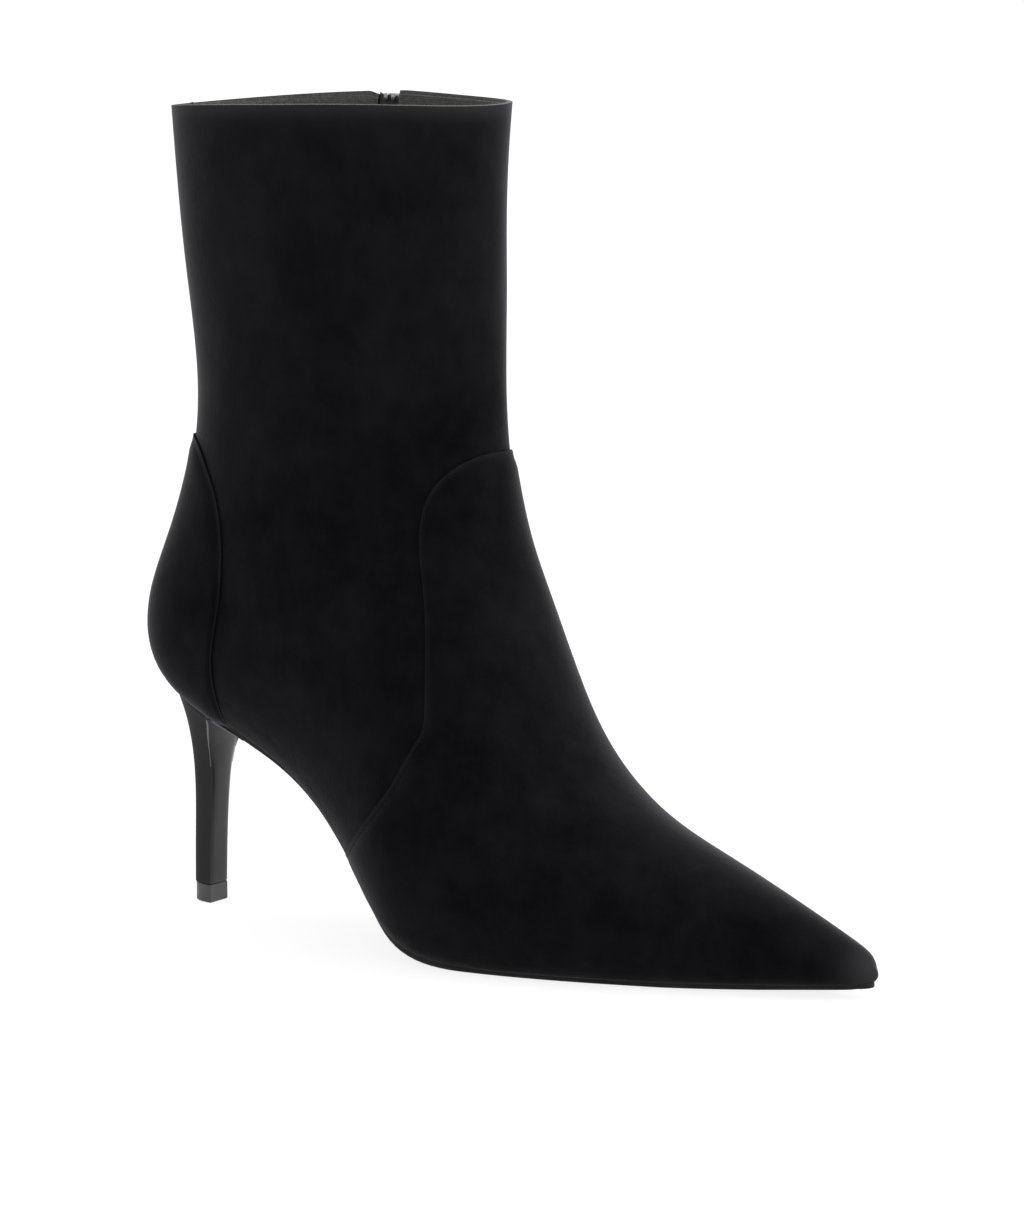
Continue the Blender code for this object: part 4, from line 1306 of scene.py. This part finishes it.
def rounded(width, length, radius, steps=5):
    """A rectangle's outline with round corners."""
    points = []
    for corner in range(4):
        sx = 1 if corner in (0, 3) else -1
        sy = 1 if corner in (0, 1) else -1
        for step in range(steps + 1):
            angle = math.pi / 2 * (corner + step / steps)
            points.append((
                sx * (width / 2 - radius) + radius * math.cos(angle),
                sy * (length / 2 - radius) + radius * math.sin(angle),
            ))
    return np.array(points)


def plate_mesh(name, loops, low, high, cut, body="boot"):
    """A flat metal piece with rounded edges between two heights; its loops are an outline and any hole."""
    bm = bmesh.new()
    edges = []
    for loop in loops:
        verts = [bm.verts.new((x, y, low)) for x, y in loop]
        edges += [bm.edges.new((verts[i], verts[(i + 1) % len(verts)])) for i in range(len(verts))]
    filled = bmesh.ops.triangle_fill(bm, edges=edges, use_beauty=True)
    bottom = [g for g in filled["geom"] if isinstance(g, bmesh.types.BMFace)]
    grown = bmesh.ops.extrude_face_region(bm, geom=bottom)
    top = [g for g in grown["geom"] if isinstance(g, bmesh.types.BMVert)]
    bmesh.ops.translate(bm, verts=top, vec=(0, 0, high - low))
    bmesh.ops.recalc_face_normals(bm, faces=bm.faces)
    sharp = [e for e in bm.edges if len(e.link_faces) == 2 and e.calc_face_angle() > PLATE_SHARP]
    bmesh.ops.bevel(
        bm, geom=sharp, offset=cut, segments=PLATE_SEGMENTS, affect="EDGES", profile=PLATE_PROFILE
    )
    points, faces = solid_of(bm)
    return add_mesh(name, on_slider(points), faces, metal_look, body)


slider_outline = rounded(SLIDER_WIDTH, SLIDER_LENGTH, SLIDER_CORNER)
slider_outline[:, 0] *= np.where(slider_outline[:, 1] < 0, SLIDER_TAPER, 1.0)
slider = plate_mesh("slider_plate", [slider_outline], PLATE_LOW, SLIDER_HEIGHT, PLATE_ROUND)
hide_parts("zip_slider")
back_outline = slider_outline * BACK_PLATE_SHARE
back_plate = plate_mesh("slider_back", [back_outline], 0.0, BACK_PLATE_HIGH, BACK_PLATE_ROUND)
rails = [rounded_block(on_slider(at), slider_axes, size, cut) for at, size, cut in RAIL_BLOCKS]
slider_rails = add_mesh("slider_rails", *gather(rails), metal_look)

# Bail: a bent strip over the slider
BAIL_STEPS = 25
BAIL_SQUARE = 0.55
BAIL_SINK = 0.5
BAIL_CORNER = 0.3
BAIL_CORNER_STEPS = 3
leg = (BAIL_LENGTH - BAIL_BAR) / 2
climb = BAIL_HEIGHT - BAIL_BAR / 2 + BAIL_SINK
bail_path = []
for angle in np.linspace(math.pi, 0, BAIL_STEPS):
    aside, above = square_turn(angle, BAIL_SQUARE)
    bail_path.append((leg * aside, SLIDER_HEIGHT - BAIL_SINK + climb * above))
bail_section = rounded(BAIL_WIDTH, BAIL_BAR, BAIL_CORNER, BAIL_CORNER_STEPS)
bail_rings = []
for (y, z), (along_y, along_z) in zip(bail_path, unit(np.gradient(np.array(bail_path), axis=0))):
    bail_rings.append(on_slider([(x, y - along_z * h, z + along_y * h) for x, h in bail_section]))
bail = tube("slider_bail", bail_rings, metal_look)

# Pull: a tapered tab that hangs from the bail
PIVOT_HEIGHT = SLIDER_HEIGHT + (BAIL_HEIGHT - BAIL_BAR) / 2
PULL_CORNER = 2.0
PULL_TAPER = 0.22
PULL_ROUND = 0.25
SLOT_CORNER = 0.5
slot_width, slot_length = PULL_SLOT
pull_outline = rounded(PULL_WIDTH, PULL_LENGTH, PULL_CORNER)
pull_outline[:, 1] += PULL_BAR / 2 - PULL_LENGTH / 2
pull_outline[:, 0] *= 1 - PULL_TAPER * np.clip((pull_outline[:, 1] + PULL_LENGTH) / PULL_LENGTH, 0, 1)
pull_slot = rounded(slot_width, slot_length, SLOT_CORNER)
pull_slot[:, 1] -= slot_length / 2 + PULL_BAR / 2
low = PIVOT_HEIGHT - PULL_THICKNESS / 2
pull = plate_mesh("pull_tab", [pull_outline, pull_slot], low, low + PULL_THICKNESS, PULL_ROUND, "pull")
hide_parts("zip_pull")

# Floor
WHITE = (1.0, 1.0, 1.0, 1.0)
FLOOR_HALF = 30.0
FLOOR_TONE = (0.22, 0.22, 0.22, 1.0)
FLOOR_GLOW = 0.84
FLOOR_ROUGHNESS = 0.9
FLOOR_CORNERS = ((-1, -1), (1, -1), (1, 1), (-1, 1))
floor_mesh = bpy.data.meshes.new("floor")
floor_mesh.from_pydata([(x * FLOOR_HALF, y * FLOOR_HALF, 0) for x, y in FLOOR_CORNERS], [], [(0, 1, 2, 3)])
floor = bpy.data.objects.new("floor", floor_mesh)
scene.collection.objects.link(floor)
floor_look, floor_tree, floor_shader = shader_of("floor")
feed(floor_tree, floor_shader, {
    "Base Color": FLOOR_TONE,
    "Emission Color": WHITE,
    "Emission Strength": FLOOR_GLOW,
    "Roughness": FLOOR_ROUGHNESS,
    "Specular IOR Level": 0.0,
})
floor_mesh.materials.append(floor_look)

# Light: a white sky, brighter to the right of the picture, and two soft lamps
AZIMUTH = math.radians(35.0)
ELEVATION = math.radians(9.0)
SKY_SIDES = (0.85, 1.4)
# Name, place, aim, size and power
LAMPS = (
    ("left", (-1.6, -1.2, 1.6), (0.0, 0.0, 0.1), 1.6, 1.0),
    ("right", (2.0, 0.9, 0.8), (0.0, 0.0, 0.15), 1.4, 34.0),
)
right = Vector((math.cos(AZIMUTH), math.sin(AZIMUTH), 0.0))
world = bpy.data.worlds.new("studio")
scene.world = world
world.use_nodes = True
sky = world.node_tree
direction = sky.nodes.new("ShaderNodeTexCoord").outputs["Generated"]
sideways = add_node(sky, "ShaderNodeVectorMath", {0: direction, 1: right}, operation="DOT_PRODUCT")
strength = ramp(sky, sideways.outputs["Value"], (-1.0, 1.0), SKY_SIDES)
feed(sky, sky.nodes["Background"], {"Color": WHITE, "Strength": strength})


def turn_to(made, aim):
    made.rotation_euler = (Vector(aim) - made.location).to_track_quat("-Z", "Y").to_euler()


for name, position, aim, size, power in LAMPS:
    lamp_data = bpy.data.lights.new(name, "AREA")
    lamp_data.shape = "DISK"
    lamp_data.size = size
    lamp_data.energy = power
    lamp = bpy.data.objects.new(name, lamp_data)
    lamp.location = position
    turn_to(lamp, aim)
    scene.collection.objects.link(lamp)

# Camera: at the photo's angle, turned so that the target meets its place in the picture
IMAGE_WIDTH = 1024
IMAGE_HEIGHT = 1230
FOCAL_PIXELS = 5166.0
SENSOR = 36.0
CLIP_END = 200.0
DISTANCE = 1.558
TARGET = (101.0, 0.0, 119.0)
TARGET_PIXEL = (474.0, 556.5)
camera_data = bpy.data.cameras.new("photo_camera")
camera_data.sensor_fit = "VERTICAL"
camera_data.sensor_height = SENSOR
camera_data.lens = FOCAL_PIXELS / IMAGE_HEIGHT * SENSOR
camera_data.clip_end = CLIP_END
camera = bpy.data.objects.new("photo_camera", camera_data)
scene.collection.objects.link(camera)
level = math.cos(ELEVATION)
toward = Vector((math.sin(AZIMUTH) * level, -math.cos(AZIMUTH) * level, math.sin(ELEVATION)))
above = toward.cross(right)
target = Vector(place(TARGET))
pixel = DISTANCE / FOCAL_PIXELS
pixels_right = IMAGE_WIDTH / 2 - TARGET_PIXEL[0]
pixels_down = IMAGE_HEIGHT / 2 - TARGET_PIXEL[1]
camera.location = target + toward * DISTANCE
turn_to(camera, target + right * pixels_right * pixel - above * pixels_down * pixel)
scene.camera = camera
scene.view_settings.view_transform = "Standard"
